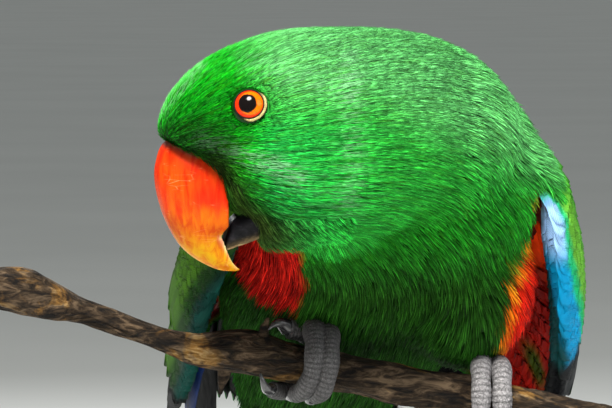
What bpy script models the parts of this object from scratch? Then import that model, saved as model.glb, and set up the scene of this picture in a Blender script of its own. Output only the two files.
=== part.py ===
"""Life-size still model of a male eclectus parrot, leaning forward on a cut branch held by a stand.

Sizes are in millimetres until a mesh is made. The frame has +Z up and -Y towards the side that the
lowered head shows; the origin is the middle of the base's underside.
"""

import math

import bmesh
import bpy
import numpy as np
from mathutils import Vector

MM = 0.001
GAP = 0.3

# Driving sizes of the bird, the branch and the stand
PERCH_HEIGHT = 124.0
BASE_RADIUS = 80.0
BASE_THICKNESS = 12.0
BASE_EDGE = 2.5
ROD_RADIUS = 3.0
ROD_PLACES = (("stand_rod_inner", 29.0), ("stand_rod_outer", 69.0))
PERCH_TO_BASE = Vector((-22.0, -38.0, PERCH_HEIGHT))
STANCE_CENTRE = Vector((18.0, 0.0, 0.0))
HEADING = math.radians(12.0)
BODY_ROLL = math.radians(9.0)
BODY_PITCH = math.radians(42.0)
SHOULDER_FORWARD = 9.0
SHOULDER_UP = 64.0
HEAD_CENTRE = Vector((-15.4, -42.0, 75.5))
HEAD_TURN = math.radians(8.0)
EYE_RADIUS = 6.2
EYE_PLACE = (-2.4, 6.3, 19.7)
EYE_FACING = (-0.20, 0.27, 0.94)
EYE_DEPTH = 4.9
LID_RING = 4.7
LID_THICKNESS = 0.75
LID_STEPS = (18, 5)
TAIL_LENGTH = 118.0

# Body stations from tail root to neck: forward, up, half width, half depth
TRUNK_STATIONS = (
    (-104, -26, 10, 8.5), (-88, -15, 18.5, 17), (-64, 7, 31, 27.5), (-38, 31, 43.5, 36),
    (-14, 50.5, 44.5, 38.5), (9, 62, 41, 35.5), (22, 69, 33, 29.5), (31, 73, 20, 18))
# Neck stations from inside the breast to the back of the head: x, y, z, half width, half height
NECK_STATIONS = (
    (29, 2, 66, 32, 29), (27, -14, 70, 34, 30), (20, -27, 72.5, 31, 29.5), (10, -36, 73, 27, 29.5),
    (-2, -40.5, 72.3, 24, 30.0), (-12, -42, 71.6, 22, 28.6))
# Cuts that part head, neck and torso: their forward sides and places
NECK_FRONT = Vector((-0.86, -0.50, 0.05))
NECK_FRONT_ALONG = 15.0
NECK_BACK = Vector((-0.54, -0.76, 0.36))
NECK_BACK_PLACE = Vector((20.0, -22.0, 74.0))
# Head stations from the forehead back, in the head's profile: along, centre height, half height, half width
HEAD_STATIONS = (
    (-26.1, -3.0, 2.2, 3.0), (-25.3, -3.4, 6.2, 6.5), (-23.9, -3.3, 9.6, 9.0), (-22.0, -3.0, 12.7, 11.0),
    (-17.9, -3.2, 17.5, 14.0), (-13.8, -3.2, 21.0, 16.4), (-9.4, -3.7, 24.1, 18.4), (-5.0, -4.4, 26.7, 19.9),
    (0.0, -4.4, 28.6, 21.2), (5.5, -4.1, 30.0, 22.2), (13.8, -4.1, 30.8, 23.0))
# The edge of the face feathers against the bill, in the head's profile
FACE_EDGE = (
    (-22.8, -4.8), (-19.8, -6.7), (-16.2, -8.5), (-12.7, -11.0), (-9.9, -14.0), (-8.5, -16.9),
    (-7.4, -19.8), (-6.6, -22.0), (-2.8, -22.8), (0.6, -24.5), (2.2, -27.8), (1.9, -32.7), (3.3, -37.7))
FACE_PIVOT = (-24.0, -34.0)
FACE_FLARE = 1.36
FACE_HALF = 9.9
UPPER_EDGE = FACE_EDGE[:8] + ((-5.9, -26.0), (-5.8, -29.0), (4.0, -33.0))
# Corners that close the space in front of an edge, after one straight below the edge's end
SPACE_FLOOR = -60.0
SPACE_CORNERS = ((-60.0, SPACE_FLOOR), (-60.0, 0.6), (-24.5, -4.0))
SPACE_HALF = 32.0
CHEEK_HALF = 26.0
BILL_CLEARANCE = (-0.35, -0.3)
# Upper bill stations: ridge along, ridge height, cutting edge along, cutting edge height, half width
UPPER_BILL_STATIONS = (
    (-16.5, 0.0, 1.4, -22.0, 9.4), (-23.9, -4.4, -2.8, -26.7, 9.7), (-26.3, -10.2, -5.0, -28.6, 9.5),
    (-26.6, -15.1, -6.3, -29.2, 9.2), (-25.4, -21.2, -8.0, -29.8, 8.5), (-23.4, -26.7, -8.4, -30.5, 7.6),
    (-19.9, -32.7, -7.8, -31.9, 6.3), (-15.4, -36.8, -7.0, -33.8, 4.9), (-9.4, -39.8, -5.5, -36.9, 3.1),
    (-5.0, -40.4, -3.9, -39.0, 1.3), (-2.6, -40.2, -2.5, -39.9, 0.4))
LOWER_BILL_STATIONS = (
    (6.9, -21.0, 9.6, -28.6, 8.6), (2.2, -22.0, 4.4, -30.8, 8.2), (-1.1, -22.9, 0.0, -32.5, 7.6),
    (-3.9, -24.5, -3.9, -33.8, 6.8), (-6.0, -27.0, -6.3, -34.6, 5.6), (-7.2, -30.6, -7.8, -34.2, 3.6))
# One side of each bill half, from its cutting edge to its ridge: share of the rise, share of the half width
UPPER_SIDE = ((0.0, 0.80), (0.16, 0.93), (0.36, 1.0), (0.60, 0.92), (0.80, 0.70), (0.94, 0.38), (1.0, 0.0))
UPPER_PALATE = ((0.12, -0.45), (0.17, 0.0), (0.12, 0.45))
LOWER_SIDE = ((0.0, 0.82), (0.28, 1.0), (0.58, 0.93), (0.84, 0.62), (1.0, 0.0))
LOWER_PALATE = ((0.12, -0.4), (0.18, 0.0), (0.12, 0.4))
# Branch stations: x, y, z, radius
PERCH_STATIONS = (
    (-92.0, -18, 29.5, 3.8), (-86.9, -17, 28.7, 5.6), (-78.4, -15, 27.3, 6.3), (-70.4, -13, 24.9, 5.3),
    (-64.2, -11, 22.4, 3.9), (-47.7, -7, 15.9, 3.4), (-38.6, -4, 12.5, 3.6), (-31.2, -2, 10.2, 4.4),
    (-23.9, -1, 9.7, 5.9), (-15.9, 0, 9.0, 6.2), (-4.5, 0, 6.5, 5.7), (6.8, 0, 4.0, 5.5),
    (26.7, 0, 0.0, 5.7), (38.1, 0, -1.7, 5.5), (55.1, 1, -4.8, 5.3), (73.8, 2, -8.8, 5.1),
    (86.9, 3, -11.9, 5.0), (97.7, 4, -14.8, 4.8))
# Wing stations: back from the shoulder, then lower edge, middle and upper edge as out and up
WING_STATIONS = (
    (-14, 33, -7, 34, -1, 31, 6), (-4, 41, -12, 43, 2, 32, 19), (8, 46, -17, 48, 5, 25, 33),
    (30, 52, -20, 53.5, 9, 16, 45), (62, 58, -22, 56, 11, 10, 44), (100, 58, -22, 52, 10, 8, 36),
    (140, 52, -18, 42, 8, 7, 24), (180, 43, -13, 33, 5, 8, 14), (215, 36, -8, 27, 3, 11, 8),
    (250, 32, -5, 24, 1, 12, 5))
# Thighs: centre and half sizes
THIGHS = {"left": ((45.5, 10, 31), (21, 26, 28)), "right": ((4, 15, 25), (14, 20, 20))}
WING_SPREAD = {"left": 6.0, "right": -14.0}
WING_RAISE = {"left": 0.0, "right": 12.0}
SPREAD_START = 8.0
SPREAD_FULL = 85.0
RAISE_START = 60.0
RAISE_FULL = 140.0
# Feather outlines: share of the length, then share of the half width
LONG_VANE = ((0.0, 0.55), (0.3, 0.85), (0.62, 1.0), (0.86, 0.92), (0.96, 0.62), (1.0, 0.25))
SHORT_VANE = ((0.0, 0.70), (0.55, 1.0), (0.88, 0.80), (1.0, 0.30))
SQUARE_VANE = ((0.0, 0.60), (0.4, 0.85), (0.8, 1.0), (0.95, 0.88), (1.0, 0.55))
# Flight feathers of a wing: name, count, root and tips back from the shoulder, first and last root across,
# first and last tip across, half width, first and last depth under the wing's face, tilt
FLIGHT_ROWS = (
    ("primaries", 5, 84, (240, 245, 230, 208, 184), (0.12, 0.40), (0.30, 0.62), 8.5, (-7.8, -3.4), 1.0),
    ("secondaries", 4, 76, (140, 148, 153, 153), (0.34, 0.88), (0.34, 0.88), 11.0, (-1.3, -1.3), 2.6))
# Coverts of a wing: count, root and tip back, first and last root and tip across, half width
COVERT_ROWS = (
    (5, 56, 96, (0.12, 0.88), (0.14, 0.88), 10.5),
    (4, 32, 68, (0.13, 0.85), (0.14, 0.85), 12.5))
# Arm of a wing: back from the shoulder and depth under its face
ARM_DEPTHS = ((-13, 4), (-8, 10), (0, 16), (12, 19), (28, 18), (46, 15), (64, 11), (82, 7), (98, 4))
ARM_COLUMNS = 7
ARM_SINK = 1.6
# Root of the tail: along it, half width, half depth
TAIL_CUT = 112.0
TAIL_DROP = math.radians(8.0)
TAIL_SWING = math.radians(-5.0)
TAIL_ROOT_DORSAL = -4.0
TAIL_ROOT = (
    (0, 16.0, 13.5), (8, 15.5, 12), (20, 14.5, 9), (34, 13.5, 5.5), (50, 12.5, 3.2), (60, 10.5, 2.0))
TAIL_PAIRS = 6
TAIL_SPAN = (10.0, 12.0)
TAIL_ARCH = 2.2

# Toes of each foot: name, then rows of along the branch, turn round it in degrees, height over it, thickness
# Turn 0 faces -Y, 90 is up, 180 is behind and -90 is below.
RIGHT_TOES = {
    "front_inner": ((1.5, 118, 4.9, 3.7), (2.6, 92, 5.2, 3.6), (3.0, 50, 4.6, 3.4), (2.7, 5, 3.8, 3.2),
                    (1.0, -35, 3.5, 3.1), (-1.3, -62, 3.2, 2.7)),
    "front_outer": ((-1.0, 118, 4.9, 3.7), (-1.2, 92, 5.4, 3.8), (-0.8, 50, 4.8, 3.5), (-1.1, 5, 3.9, 3.3),
                    (-3.6, -40, 3.5, 3.1), (-6.8, -74, 3.3, 2.7)),
    "hind_outer": ((-1.5, 125, 4.4, 3.5), (-5.5, 108, 4.2, 3.3), (-8.6, 98, 3.7, 2.9)),
    "hind_inner": ((0.5, 140, 4.4, 3.4), (-2.0, 180, 3.6, 3.1), (-6.0, 225, 3.4, 3.0),
                   (-11.0, 262, 3.3, 2.8), (-13.5, 284, 3.2, 2.4))}
LEFT_TOES = {
    "front_inner": ((-1.5, 118, 4.6, 3.5), (-2.6, 92, 4.6, 3.3), (-2.9, 50, 3.8, 3.1), (-2.9, 5, 3.4, 3.0),
                    (-3.0, -38, 3.3, 2.9), (-2.0, -70, 3.1, 2.5)),
    "front_outer": ((1.5, 118, 4.6, 3.5), (2.7, 92, 4.7, 3.3), (3.0, 50, 3.9, 3.1), (3.0, 5, 3.5, 3.0),
                    (3.4, -42, 3.4, 2.9), (3.0, -80, 3.2, 2.5)),
    "hind_outer": ((1.5, 140, 4.4, 3.4), (5.0, 180, 3.6, 3.1), (6.5, 225, 3.4, 2.9), (7.0, 255, 3.2, 2.5)),
    "hind_inner": ((-1.5, 140, 4.4, 3.4), (-4.5, 180, 3.6, 3.0), (-6.0, 222, 3.3, 2.5))}
FEET = {"right": (3.5, RIGHT_TOES, -1.0), "left": (52.5, LEFT_TOES, 1.0)}
CLAW_STEPS = 4
CLAW_ALONG = 40.0
CLAW_TURN = 58.0
CLAW_ARCH = 1.6
# Spurs of the branch: place along it, turn round it in degrees, length, lean along it
SPURS = ((-22.0, 262, 6.5, -2.0), (-14.0, 78, 5.0, 3.0))
SPUR_RADII = (2.4, 2.0, 1.3, 0.5)
PERCH_SIDES = 9
PERCH_STEP = 9.0
# Foot of a rod: radius and height over the base
ROD_PROFILE = ((6.0, 0.0), (6.0, 2.6), (5.4, 3.2), (ROD_RADIUS, 3.3))

BODY_SIDES = 28
BODY_STEPS = 5
BODY_VOXEL = 1.7
BODY_RELAX = 14
BODY_KEEP = 0.039

COLOURS = {
    "green": (0.03, 0.30, 0.05), "orange": (0.85, 0.22, 0.02), "black": (0.02, 0.02, 0.02),
    "grey": (0.16, 0.16, 0.17), "wood": (0.22, 0.15, 0.09),
    "stand": (0.05, 0.05, 0.055), "eye": (0.80, 0.25, 0.03)}


def finish_material(name, roughness, metallic=0.0):
    """One material for each finish, shared by the nodes that have it."""
    material = bpy.data.materials.get(name) or bpy.data.materials.new(name)
    material.use_nodes = True
    shader = material.node_tree.nodes["Principled BSDF"]
    shader.inputs["Base Color"].default_value = (*COLOURS[name], 1.0)
    shader.inputs["Roughness"].default_value = roughness
    shader.inputs["Metallic"].default_value = metallic
    material.diffuse_color = (*COLOURS[name], 1.0)
    return material


def to_world(point):
    """Perch-centred millimetres to metres in the part's frame."""
    return (Vector(point) + PERCH_TO_BASE) * MM


def stance_point(forward, out, up):
    """A place told from the middle of the stance: along the heading, to the bird's left, and up."""
    ahead = Vector((math.sin(HEADING), -math.cos(HEADING), 0.0))
    level = Vector((math.cos(HEADING), math.sin(HEADING), 0.0))
    left = level * math.cos(BODY_ROLL) - Vector((0, 0, math.sin(BODY_ROLL)))
    rise = level * math.sin(BODY_ROLL) + Vector((0, 0, math.cos(BODY_ROLL)))
    return STANCE_CENTRE + ahead * forward + left * out + rise * up


def body_point(back, out, dorsal):
    """A place told from the shoulders: back along the pitched body, out to its left, towards its back."""
    cos_p, sin_p = math.cos(BODY_PITCH), math.sin(BODY_PITCH)
    forward = SHOULDER_FORWARD - back * cos_p - dorsal * sin_p
    up = SHOULDER_UP - back * sin_p + dorsal * cos_p
    return stance_point(forward, out, up)


def head_point(along, height, out):
    """A place in the head's profile; out is towards the bird's left cheek."""
    backward = Vector((math.cos(HEAD_TURN), math.sin(HEAD_TURN), 0.0))
    left = Vector((math.sin(HEAD_TURN), -math.cos(HEAD_TURN), 0.0))
    return HEAD_CENTRE + backward * along + left * out + Vector((0, 0, height))


def smooth_value(places, values, at):
    """A smooth curve through the values, without overshoot at its ends."""
    places = np.asarray(places, float)
    values = np.asarray(values, float)
    slopes = np.gradient(values, places, axis=0)
    index = int(np.clip(np.searchsorted(places, at) - 1, 0, len(places) - 2))
    width = places[index + 1] - places[index]
    part = min(max((at - places[index]) / width, 0.0), 1.0)
    square, cube = part * part, part ** 3
    return ((2 * cube - 3 * square + 1) * values[index] + (cube - 2 * square + part) * width * slopes[index]
            + (3 * square - 2 * cube) * values[index + 1] + (cube - square) * width * slopes[index + 1])


def smooth_samples(rows, steps):
    """Rows read evenly along a table of stations."""
    places = list(range(len(rows)))
    return [smooth_value(places, rows, step / steps) for step in range((len(rows) - 1) * steps + 1)]


def make_object(name, vertices, faces, material=None):
    """A mesh object from world points in metres, with its faces turned outwards."""
    mesh = bpy.data.meshes.new(name)
    mesh.from_pydata([tuple(vertex) for vertex in vertices], [], faces)
    shape = bmesh.new()
    shape.from_mesh(mesh)
    bmesh.ops.recalc_face_normals(shape, faces=shape.faces)
    if shape.calc_volume(signed=True) < 0:
        bmesh.ops.reverse_faces(shape, faces=shape.faces)
    shape.to_mesh(mesh)
    shape.free()
    made = bpy.data.objects.new(name, mesh)
    bpy.context.collection.objects.link(made)
    if material:
        mesh.materials.append(material)
    return made


def loft(name, rings, material=None):
    """A closed tube through rings of equal count, its ends closed by fans."""
    count = len(rings[0])
    vertices = [to_world(point) for ring in rings for point in ring]
    faces = []
    for ring in range(len(rings) - 1):
        for side in range(count):
            near = ring * count + side
            next_side = ring * count + (side + 1) % count
            faces.append((near, next_side, next_side + count))
            faces.append((near, next_side + count, near + count))
    for ring, turned in ((0, True), (len(rings) - 1, False)):
        centre = sum((to_world(point) for point in rings[ring]), Vector()) / count
        vertices.append(centre)
        for side in range(count):
            pair = (ring * count + side, ring * count + (side + 1) % count)
            faces.append((pair[1], pair[0], len(vertices) - 1) if turned else (*pair, len(vertices) - 1))
    return make_object(name, vertices, faces, material)


def oval_ring(centre, side, top, half_side, half_top, count, power=1.0):
    """A ring round a centre; a power under 1 makes it squarer."""
    ring = []
    for step in range(count):
        turn = math.tau * step / count
        across = math.copysign(abs(math.cos(turn)) ** power, math.cos(turn))
        rise = math.copysign(abs(math.sin(turn)) ** power, math.sin(turn))
        ring.append(centre + side * (half_side * across) + top * (half_top * rise))
    return ring


def path_rings(points, radii, count, up=Vector((0, 0, 1))):
    """Rings square to a path; radii are (side, top) pairs."""
    rings = []
    for index, point in enumerate(points):
        before = points[max(index - 1, 0)]
        after = points[min(index + 1, len(points) - 1)]
        along = (after - before).normalized()
        side = along.cross(up).normalized()
        top = side.cross(along).normalized()
        rings.append(oval_ring(point, side, top, radii[index][0], radii[index][1], count))
    return rings


def swap_mesh(made, mesh):
    """Gives an object a new mesh and drops its modifiers and old mesh."""
    old = made.data
    made.modifiers.clear()
    made.data = mesh
    bpy.data.meshes.remove(old)


def apply_modifiers(made):
    """Bakes an object's modifiers into its mesh."""
    bpy.context.view_layer.update()
    graph = bpy.context.evaluated_depsgraph_get()
    swap_mesh(made, bpy.data.meshes.new_from_object(made.evaluated_get(graph)))


def remove_object(made):
    bpy.data.objects.remove(made, do_unlink=True)


def combine(made, other, operation, solver="MANIFOLD", keep=False):
    """One Boolean step with a single other shape."""
    step = made.modifiers.new(operation.lower(), "BOOLEAN")
    step.object = other
    step.operation = operation
    step.solver = solver
    apply_modifiers(made)
    if not keep:
        remove_object(other)


def fuse_all(made, pieces):
    """One union with every piece of a collection, which is then emptied."""
    group = bpy.data.collections.new(made.name + "_pieces")
    for piece in pieces:
        group.objects.link(piece)
    step = made.modifiers.new("union", "BOOLEAN")
    step.operand_type = "COLLECTION"
    step.collection = group
    step.operation = "UNION"
    step.solver = "MANIFOLD"
    apply_modifiers(made)
    for piece in pieces:
        remove_object(piece)
    bpy.data.collections.remove(group)


def keep_largest(made):
    """Keeps the largest closed surface of a mesh."""
    shape = bmesh.new()
    shape.from_mesh(made.data)
    bmesh.ops.triangulate(shape, faces=shape.faces)
    bmesh.ops.dissolve_degenerate(shape, edges=shape.edges, dist=1e-6)
    bmesh.ops.triangulate(shape, faces=shape.faces)
    waiting = set(shape.faces)
    groups = []
    while waiting:
        start = waiting.pop()
        group, edge = [start], [start]
        while edge:
            face = edge.pop()
            for line in face.edges:
                for near in line.link_faces:
                    if near in waiting:
                        waiting.remove(near)
                        group.append(near)
                        edge.append(near)
        groups.append(group)

    def group_volume(group):
        total = 0.0
        for face in group:
            one, two, three = (corner.co for corner in face.verts)
            total += one.dot(two.cross(three)) / 6.0
        return total

    largest = max(groups, key=group_volume)
    spare = [face for group in groups if group is not largest for face in group]
    bmesh.ops.delete(shape, geom=spare, context="FACES")
    loose = [corner for corner in shape.verts if not corner.link_faces]
    bmesh.ops.delete(shape, geom=loose, context="VERTS")
    shape.to_mesh(made.data)
    shape.free()


def merge_flat_faces(made, angle=2.0):
    """Joins faces that lie in one plane, which a union leaves in slivers."""
    shape = bmesh.new()
    shape.from_mesh(made.data)
    bmesh.ops.dissolve_limit(shape, angle_limit=math.radians(angle), verts=shape.verts, edges=shape.edges)
    bmesh.ops.triangulate(shape, faces=shape.faces)
    shape.to_mesh(made.data)
    shape.free()


def inflated(made, name, distance=GAP):
    """A copy of a shape grown by a distance, to cut its neighbours clear of it."""
    mesh = made.data.copy()
    shape = bmesh.new()
    shape.from_mesh(mesh)
    shape.normal_update()
    for corner in shape.verts:
        corner.co += corner.normal * (distance * MM)
    shape.to_mesh(mesh)
    shape.free()
    grown = bpy.data.objects.new(name, mesh)
    bpy.context.collection.objects.link(grown)
    return grown


def cut_away(made, point, normal):
    """Removes what lies on the normal's side of a plane and closes the cut."""
    shape = bmesh.new()
    shape.from_mesh(made.data)
    cut = bmesh.ops.bisect_plane(
        shape, geom=shape.verts[:] + shape.edges[:] + shape.faces[:], dist=1e-7,
        plane_co=to_world(point), plane_no=normal, clear_outer=True)
    rim = [item for item in cut["geom_cut"] if isinstance(item, bmesh.types.BMEdge)]
    bmesh.ops.holes_fill(shape, edges=rim, sides=0)
    bmesh.ops.triangulate(shape, faces=shape.faces)
    bmesh.ops.recalc_face_normals(shape, faces=shape.faces)
    shape.to_mesh(made.data)
    shape.free()
    keep_largest(made)


def shade_round(made, angle=40.0):
    made.data.shade_smooth()
    made.data.set_sharp_from_angle(angle=math.radians(angle))


def whole_body():
    """Trunk, neck and head as one smooth surface."""
    samples = smooth_samples(TRUNK_STATIONS, BODY_STEPS)
    centres = [stance_point(row[0], 0.0, row[1]) for row in samples]
    trunk = loft("trunk", path_rings(centres, [(row[2], row[3]) for row in samples], BODY_SIDES))
    samples = smooth_samples(NECK_STATIONS, BODY_STEPS)
    centres = [Vector(row[:3]) for row in samples]
    neck = loft("neck_form", path_rings(centres, [(row[3], row[4]) for row in samples], BODY_SIDES))
    head_rings = []
    for along, height, half_height, half_width in HEAD_STATIONS:
        centre = head_point(along, height, 0.0)
        side = head_point(along, height, 1.0) - centre
        head_rings.append(oval_ring(centre, side, Vector((0, 0, 1)), half_width, half_height, BODY_SIDES))
    head = loft("head_form", head_rings)
    combine(trunk, neck, "UNION")
    combine(trunk, head, "UNION")
    remesh = trunk.modifiers.new("remesh", "REMESH")
    remesh.mode = "VOXEL"
    remesh.voxel_size = BODY_VOXEL * MM
    relax = trunk.modifiers.new("relax", "SMOOTH")
    relax.factor = 0.6
    relax.iterations = BODY_RELAX
    thin = trunk.modifiers.new("thin", "DECIMATE")
    thin.ratio = BODY_KEEP
    thin.use_collapse_triangulate = True
    apply_modifiers(trunk)
    keep_largest(trunk)
    return trunk


def space_outline(edge):
    """The outline in the head's profile of what lies in front of an edge."""
    return edge + ((edge[-1][0], SPACE_FLOOR),) + SPACE_CORNERS


def profile_prism(name, outline, shift):
    """A block with the given outline in the head's profile."""
    rings = [[head_point(along + shift[0], height + shift[1], out) for along, height in outline]
             for out in (-SPACE_HALF, SPACE_HALF)]
    count = len(outline)
    vertices = [to_world(point) for ring in rings for point in ring]
    faces = [tuple(range(count)), tuple(range(2 * count - 1, count - 1, -1))]
    faces += [(side, (side + 1) % count, (side + 1) % count + count, side + count) for side in range(count)]
    return make_object(name, vertices, faces)


def bill_space(name, edge, shift):
    """The space in front of an edge, where the bill shows."""
    return profile_prism(name, space_outline(edge), shift)


def face_space(name, edge):
    """The space round the bill, which widens away from it so the cheeks taper to the bill."""
    outline = space_outline(edge)
    rings = []
    cheeks = ((-CHEEK_HALF, FACE_FLARE), (-FACE_HALF, 1.0), (FACE_HALF, 1.0), (CHEEK_HALF, FACE_FLARE))
    for out, flare in cheeks:
        rings.append([head_point(FACE_PIVOT[0] + (along - FACE_PIVOT[0]) * flare,
                                 FACE_PIVOT[1] + (height - FACE_PIVOT[1]) * flare, out)
                      for along, height in outline])
    count = len(outline)
    vertices = [to_world(point) for ring in rings for point in ring]
    faces = [tuple(range(count)), tuple(range(4 * count - 1, 3 * count - 1, -1))]
    for start in (0, count, 2 * count):
        faces += [(start + side, start + (side + 1) % count, start + (side + 1) % count + count,
                   start + side + count) for side in range(count)]
    return make_object(name, vertices, faces)


def bill_rings(stations, shape, inner):
    """Rings of a bill half from its ridge-to-edge stations and the shape of one side."""
    rings = []
    for top_along, top_height, edge_along, edge_height, half_width in stations:
        def place(rise, across):
            along = edge_along + (top_along - edge_along) * rise
            height = edge_height + (top_height - edge_height) * rise
            return head_point(along, height, half_width * across)
        left = [place(rise, across) for rise, across in shape]
        right = [place(rise, -across) for rise, across in reversed(shape[:-1])]
        floor = [place(rise, across) for rise, across in inner]
        rings.append(left + right + floor)
    return rings


def make_bill(head):
    """Upper and lower bill, cut clear of the face and of each other."""
    upper = loft("upper_bill", bill_rings(UPPER_BILL_STATIONS, UPPER_SIDE, UPPER_PALATE),
                 finish_material("orange", 0.35))
    turned = [(row[2], row[3], row[0], row[1], row[4]) for row in LOWER_BILL_STATIONS]
    lower = loft("lower_bill", bill_rings(turned, LOWER_SIDE, LOWER_PALATE), finish_material("black", 0.45))
    combine(upper, bill_space("upper_space", UPPER_EDGE, BILL_CLEARANCE), "INTERSECT")
    keep_largest(upper)
    combine(lower, inflated(upper, "upper_room"), "DIFFERENCE")
    keep_largest(lower)
    combine(lower, bill_space("lower_space", FACE_EDGE, BILL_CLEARANCE), "INTERSECT")
    keep_largest(lower)
    combine(head, face_space("face_cut", FACE_EDGE), "DIFFERENCE")
    keep_largest(head)
    for half in (upper, lower):
        shade_round(half)


def sphere_at(name, centre, radius, segments=12, rings=8):
    """A ball with its poles along the head's width."""
    left = head_point(0, 0, 1) - head_point(0, 0, 0)
    ahead = head_point(1, 0, 0) - head_point(0, 0, 0)
    loops = []
    for ring in range(1, rings):
        rise = math.pi * ring / rings
        middle = centre + left * (radius * math.cos(rise))
        loops.append(oval_ring(middle, ahead, Vector((0, 0, 1)), radius * math.sin(rise),
                               radius * math.sin(rise), segments))
    ball = loft(name, loops)
    for pole, sign in ((-2, 1.0), (-1, -1.0)):
        ball.data.vertices[pole].co = to_world(centre + left * (radius * sign))
    return ball


def make_eyes(head):
    """Eyes in open sockets with a raised lid ring round each."""
    rim_rise = math.sqrt((EYE_RADIUS + GAP) ** 2 - LID_RING ** 2)
    for side, name in ((1.0, "eye_left"), (-1.0, "eye_right")):
        surface = head_point(EYE_PLACE[0], EYE_PLACE[1], side * EYE_PLACE[2])
        left = head_point(EYE_FACING[0], EYE_FACING[1], side * EYE_FACING[2]) - HEAD_CENTRE
        left.normalize()
        centre = surface - left * EYE_DEPTH
        middle = centre + left * rim_rise
        ahead = Vector((0, 0, 1)).cross(left).normalized()
        above = left.cross(ahead)
        vertices, faces = [], []
        around, across = LID_STEPS
        for step in range(around):
            turn = math.tau * step / around
            radial = ahead * math.cos(turn) + above * math.sin(turn)
            for part in range(across):
                bend = math.tau * part / across
                place = middle + radial * (LID_RING + LID_THICKNESS * math.cos(bend))
                vertices.append(to_world(place + left * (LID_THICKNESS * math.sin(bend))))
                near = step * across + part
                beside = step * across + (part + 1) % across
                ahead_step = across if step < around - 1 else across - around * across
                faces.append((near, beside, beside + ahead_step))
                faces.append((near, beside + ahead_step, near + ahead_step))
        combine(head, make_object("lid_ring", vertices, faces), "UNION")
        combine(head, sphere_at("socket", centre, EYE_RADIUS + GAP), "DIFFERENCE")
        eye = sphere_at(name, centre, EYE_RADIUS)
        eye.data.materials.append(finish_material("eye", 0.1))
        eye.data.shade_smooth()
    keep_largest(head)


def make_head_neck_torso():
    """The smooth body parted into head, neck and torso by thin cuts."""
    body = whole_body()
    room = inflated(body, "body_room", GAP + 0.1)
    neck_front = NECK_FRONT.normalized()
    neck_front_place = head_point(NECK_FRONT_ALONG, 0.0, 0.0)
    neck_back = NECK_BACK.normalized()
    pieces = {}
    for name in ("head", "neck", "torso"):
        pieces[name] = bpy.data.objects.new(name, body.data.copy())
        bpy.context.collection.objects.link(pieces[name])
        pieces[name].data.materials.append(finish_material("green", 0.8))
    cut_away(pieces["head"], neck_front_place, -neck_front)
    cut_away(pieces["head"], NECK_BACK_PLACE, -neck_back)
    cut_away(pieces["neck"], neck_front_place - neck_front * GAP, neck_front)
    cut_away(pieces["neck"], NECK_BACK_PLACE, -neck_back)
    cut_away(pieces["torso"], NECK_BACK_PLACE - neck_back * GAP, neck_back)
    tail_cut = body_point(TAIL_CUT, 0, 0)
    tail_side = (body_point(1, 0, 0) - body_point(0, 0, 0)).normalized()
    cut_away(pieces["torso"], tail_cut, tail_side)
    remove_object(body)
    for piece in pieces.values():
        shade_round(piece, 50.0)
    return pieces, room


def wing_surface(back, across, spread_out, raised):
    """A place on a wing's outer face; across runs from its lower edge, 0, to its upper edge, 1."""
    places = [row[0] for row in WING_STATIONS]
    row = smooth_value(places, [row[1:] for row in WING_STATIONS], back)
    edge, middle, inner = Vector(row[0:2]), Vector(row[2:4]), Vector(row[4:6])
    droop = spread_out * min(max((back - SPREAD_START) / (SPREAD_FULL - SPREAD_START), 0.0), 1.0)
    edge.x += droop
    middle.x += droop * 0.8
    rise = raised * min(max((back - RAISE_START) / (RAISE_FULL - RAISE_START), 0.0), 1.0)
    for corner in (edge, middle, inner):
        corner.y += rise
    bend = 2 * middle - 0.5 * (edge + inner)
    rest = 1.0 - across
    flat = edge * rest ** 2 + bend * (2 * rest * across) + inner * across ** 2
    return Vector((back, flat[0], flat[1]))


def surface_frame(surface, back, across):
    """A surface's place, outward normal and width across."""
    here = surface(back, across)
    along = surface(back + 1.0, across) - surface(back - 1.0, across)
    side = surface(back, across + 0.03) - surface(back, across - 0.03)
    width = side.length / 0.06
    normal = along.cross(side).normalized()
    return here, -normal, width


def vane(surface, place, root, tip, half_width, lift, tilt, thick, parts=LONG_VANE, flip=False):
    """One feather: a thin curved plate from root to tip, split alike on both faces.

    Root and tip are places on the surface; lift and thick are given at the root and at the tip, and tilt
    raises the feather's one edge over the other.
    """
    corners = []
    for part, fullness in parts:
        back = root[0] + (tip[0] - root[0]) * part
        across = root[1] + (tip[1] - root[1]) * part
        rise = lift[0] + (lift[1] - lift[0]) * part
        depth = thick[0] + (thick[1] - thick[0]) * part
        reach = half_width * fullness / surface_frame(surface, back, across)[2]
        for side in (-1.0, 1.0):
            here, normal, _ = surface_frame(surface, back, across + side * reach)
            top = here + normal * (rise + side * tilt * 0.5)
            corners.append((top, top - normal * depth))
    vertices = []
    for top, bottom in corners:
        for point_in in (top, bottom):
            outward = -point_in[1] if flip else point_in[1]
            vertices.append(to_world(place(point_in[0], outward, point_in[2])))
    faces = []
    for part in range(len(parts) - 1):
        a, b = part * 4, part * 4 + 4
        faces += [(a, a + 2, b + 2), (a, b + 2, b)]
        faces += [(a + 1, b + 3, a + 3), (a + 1, b + 1, b + 3)]
        faces += [(a, b, b + 1), (a, b + 1, a + 1)]
        faces += [(a + 2, a + 3, b + 3), (a + 2, b + 3, b + 2)]
    last = (len(parts) - 1) * 4
    faces += [(0, 1, 3), (0, 3, 2), (last, last + 2, last + 3), (last, last + 3, last + 1)]
    return make_object("vane", vertices, faces)


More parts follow.
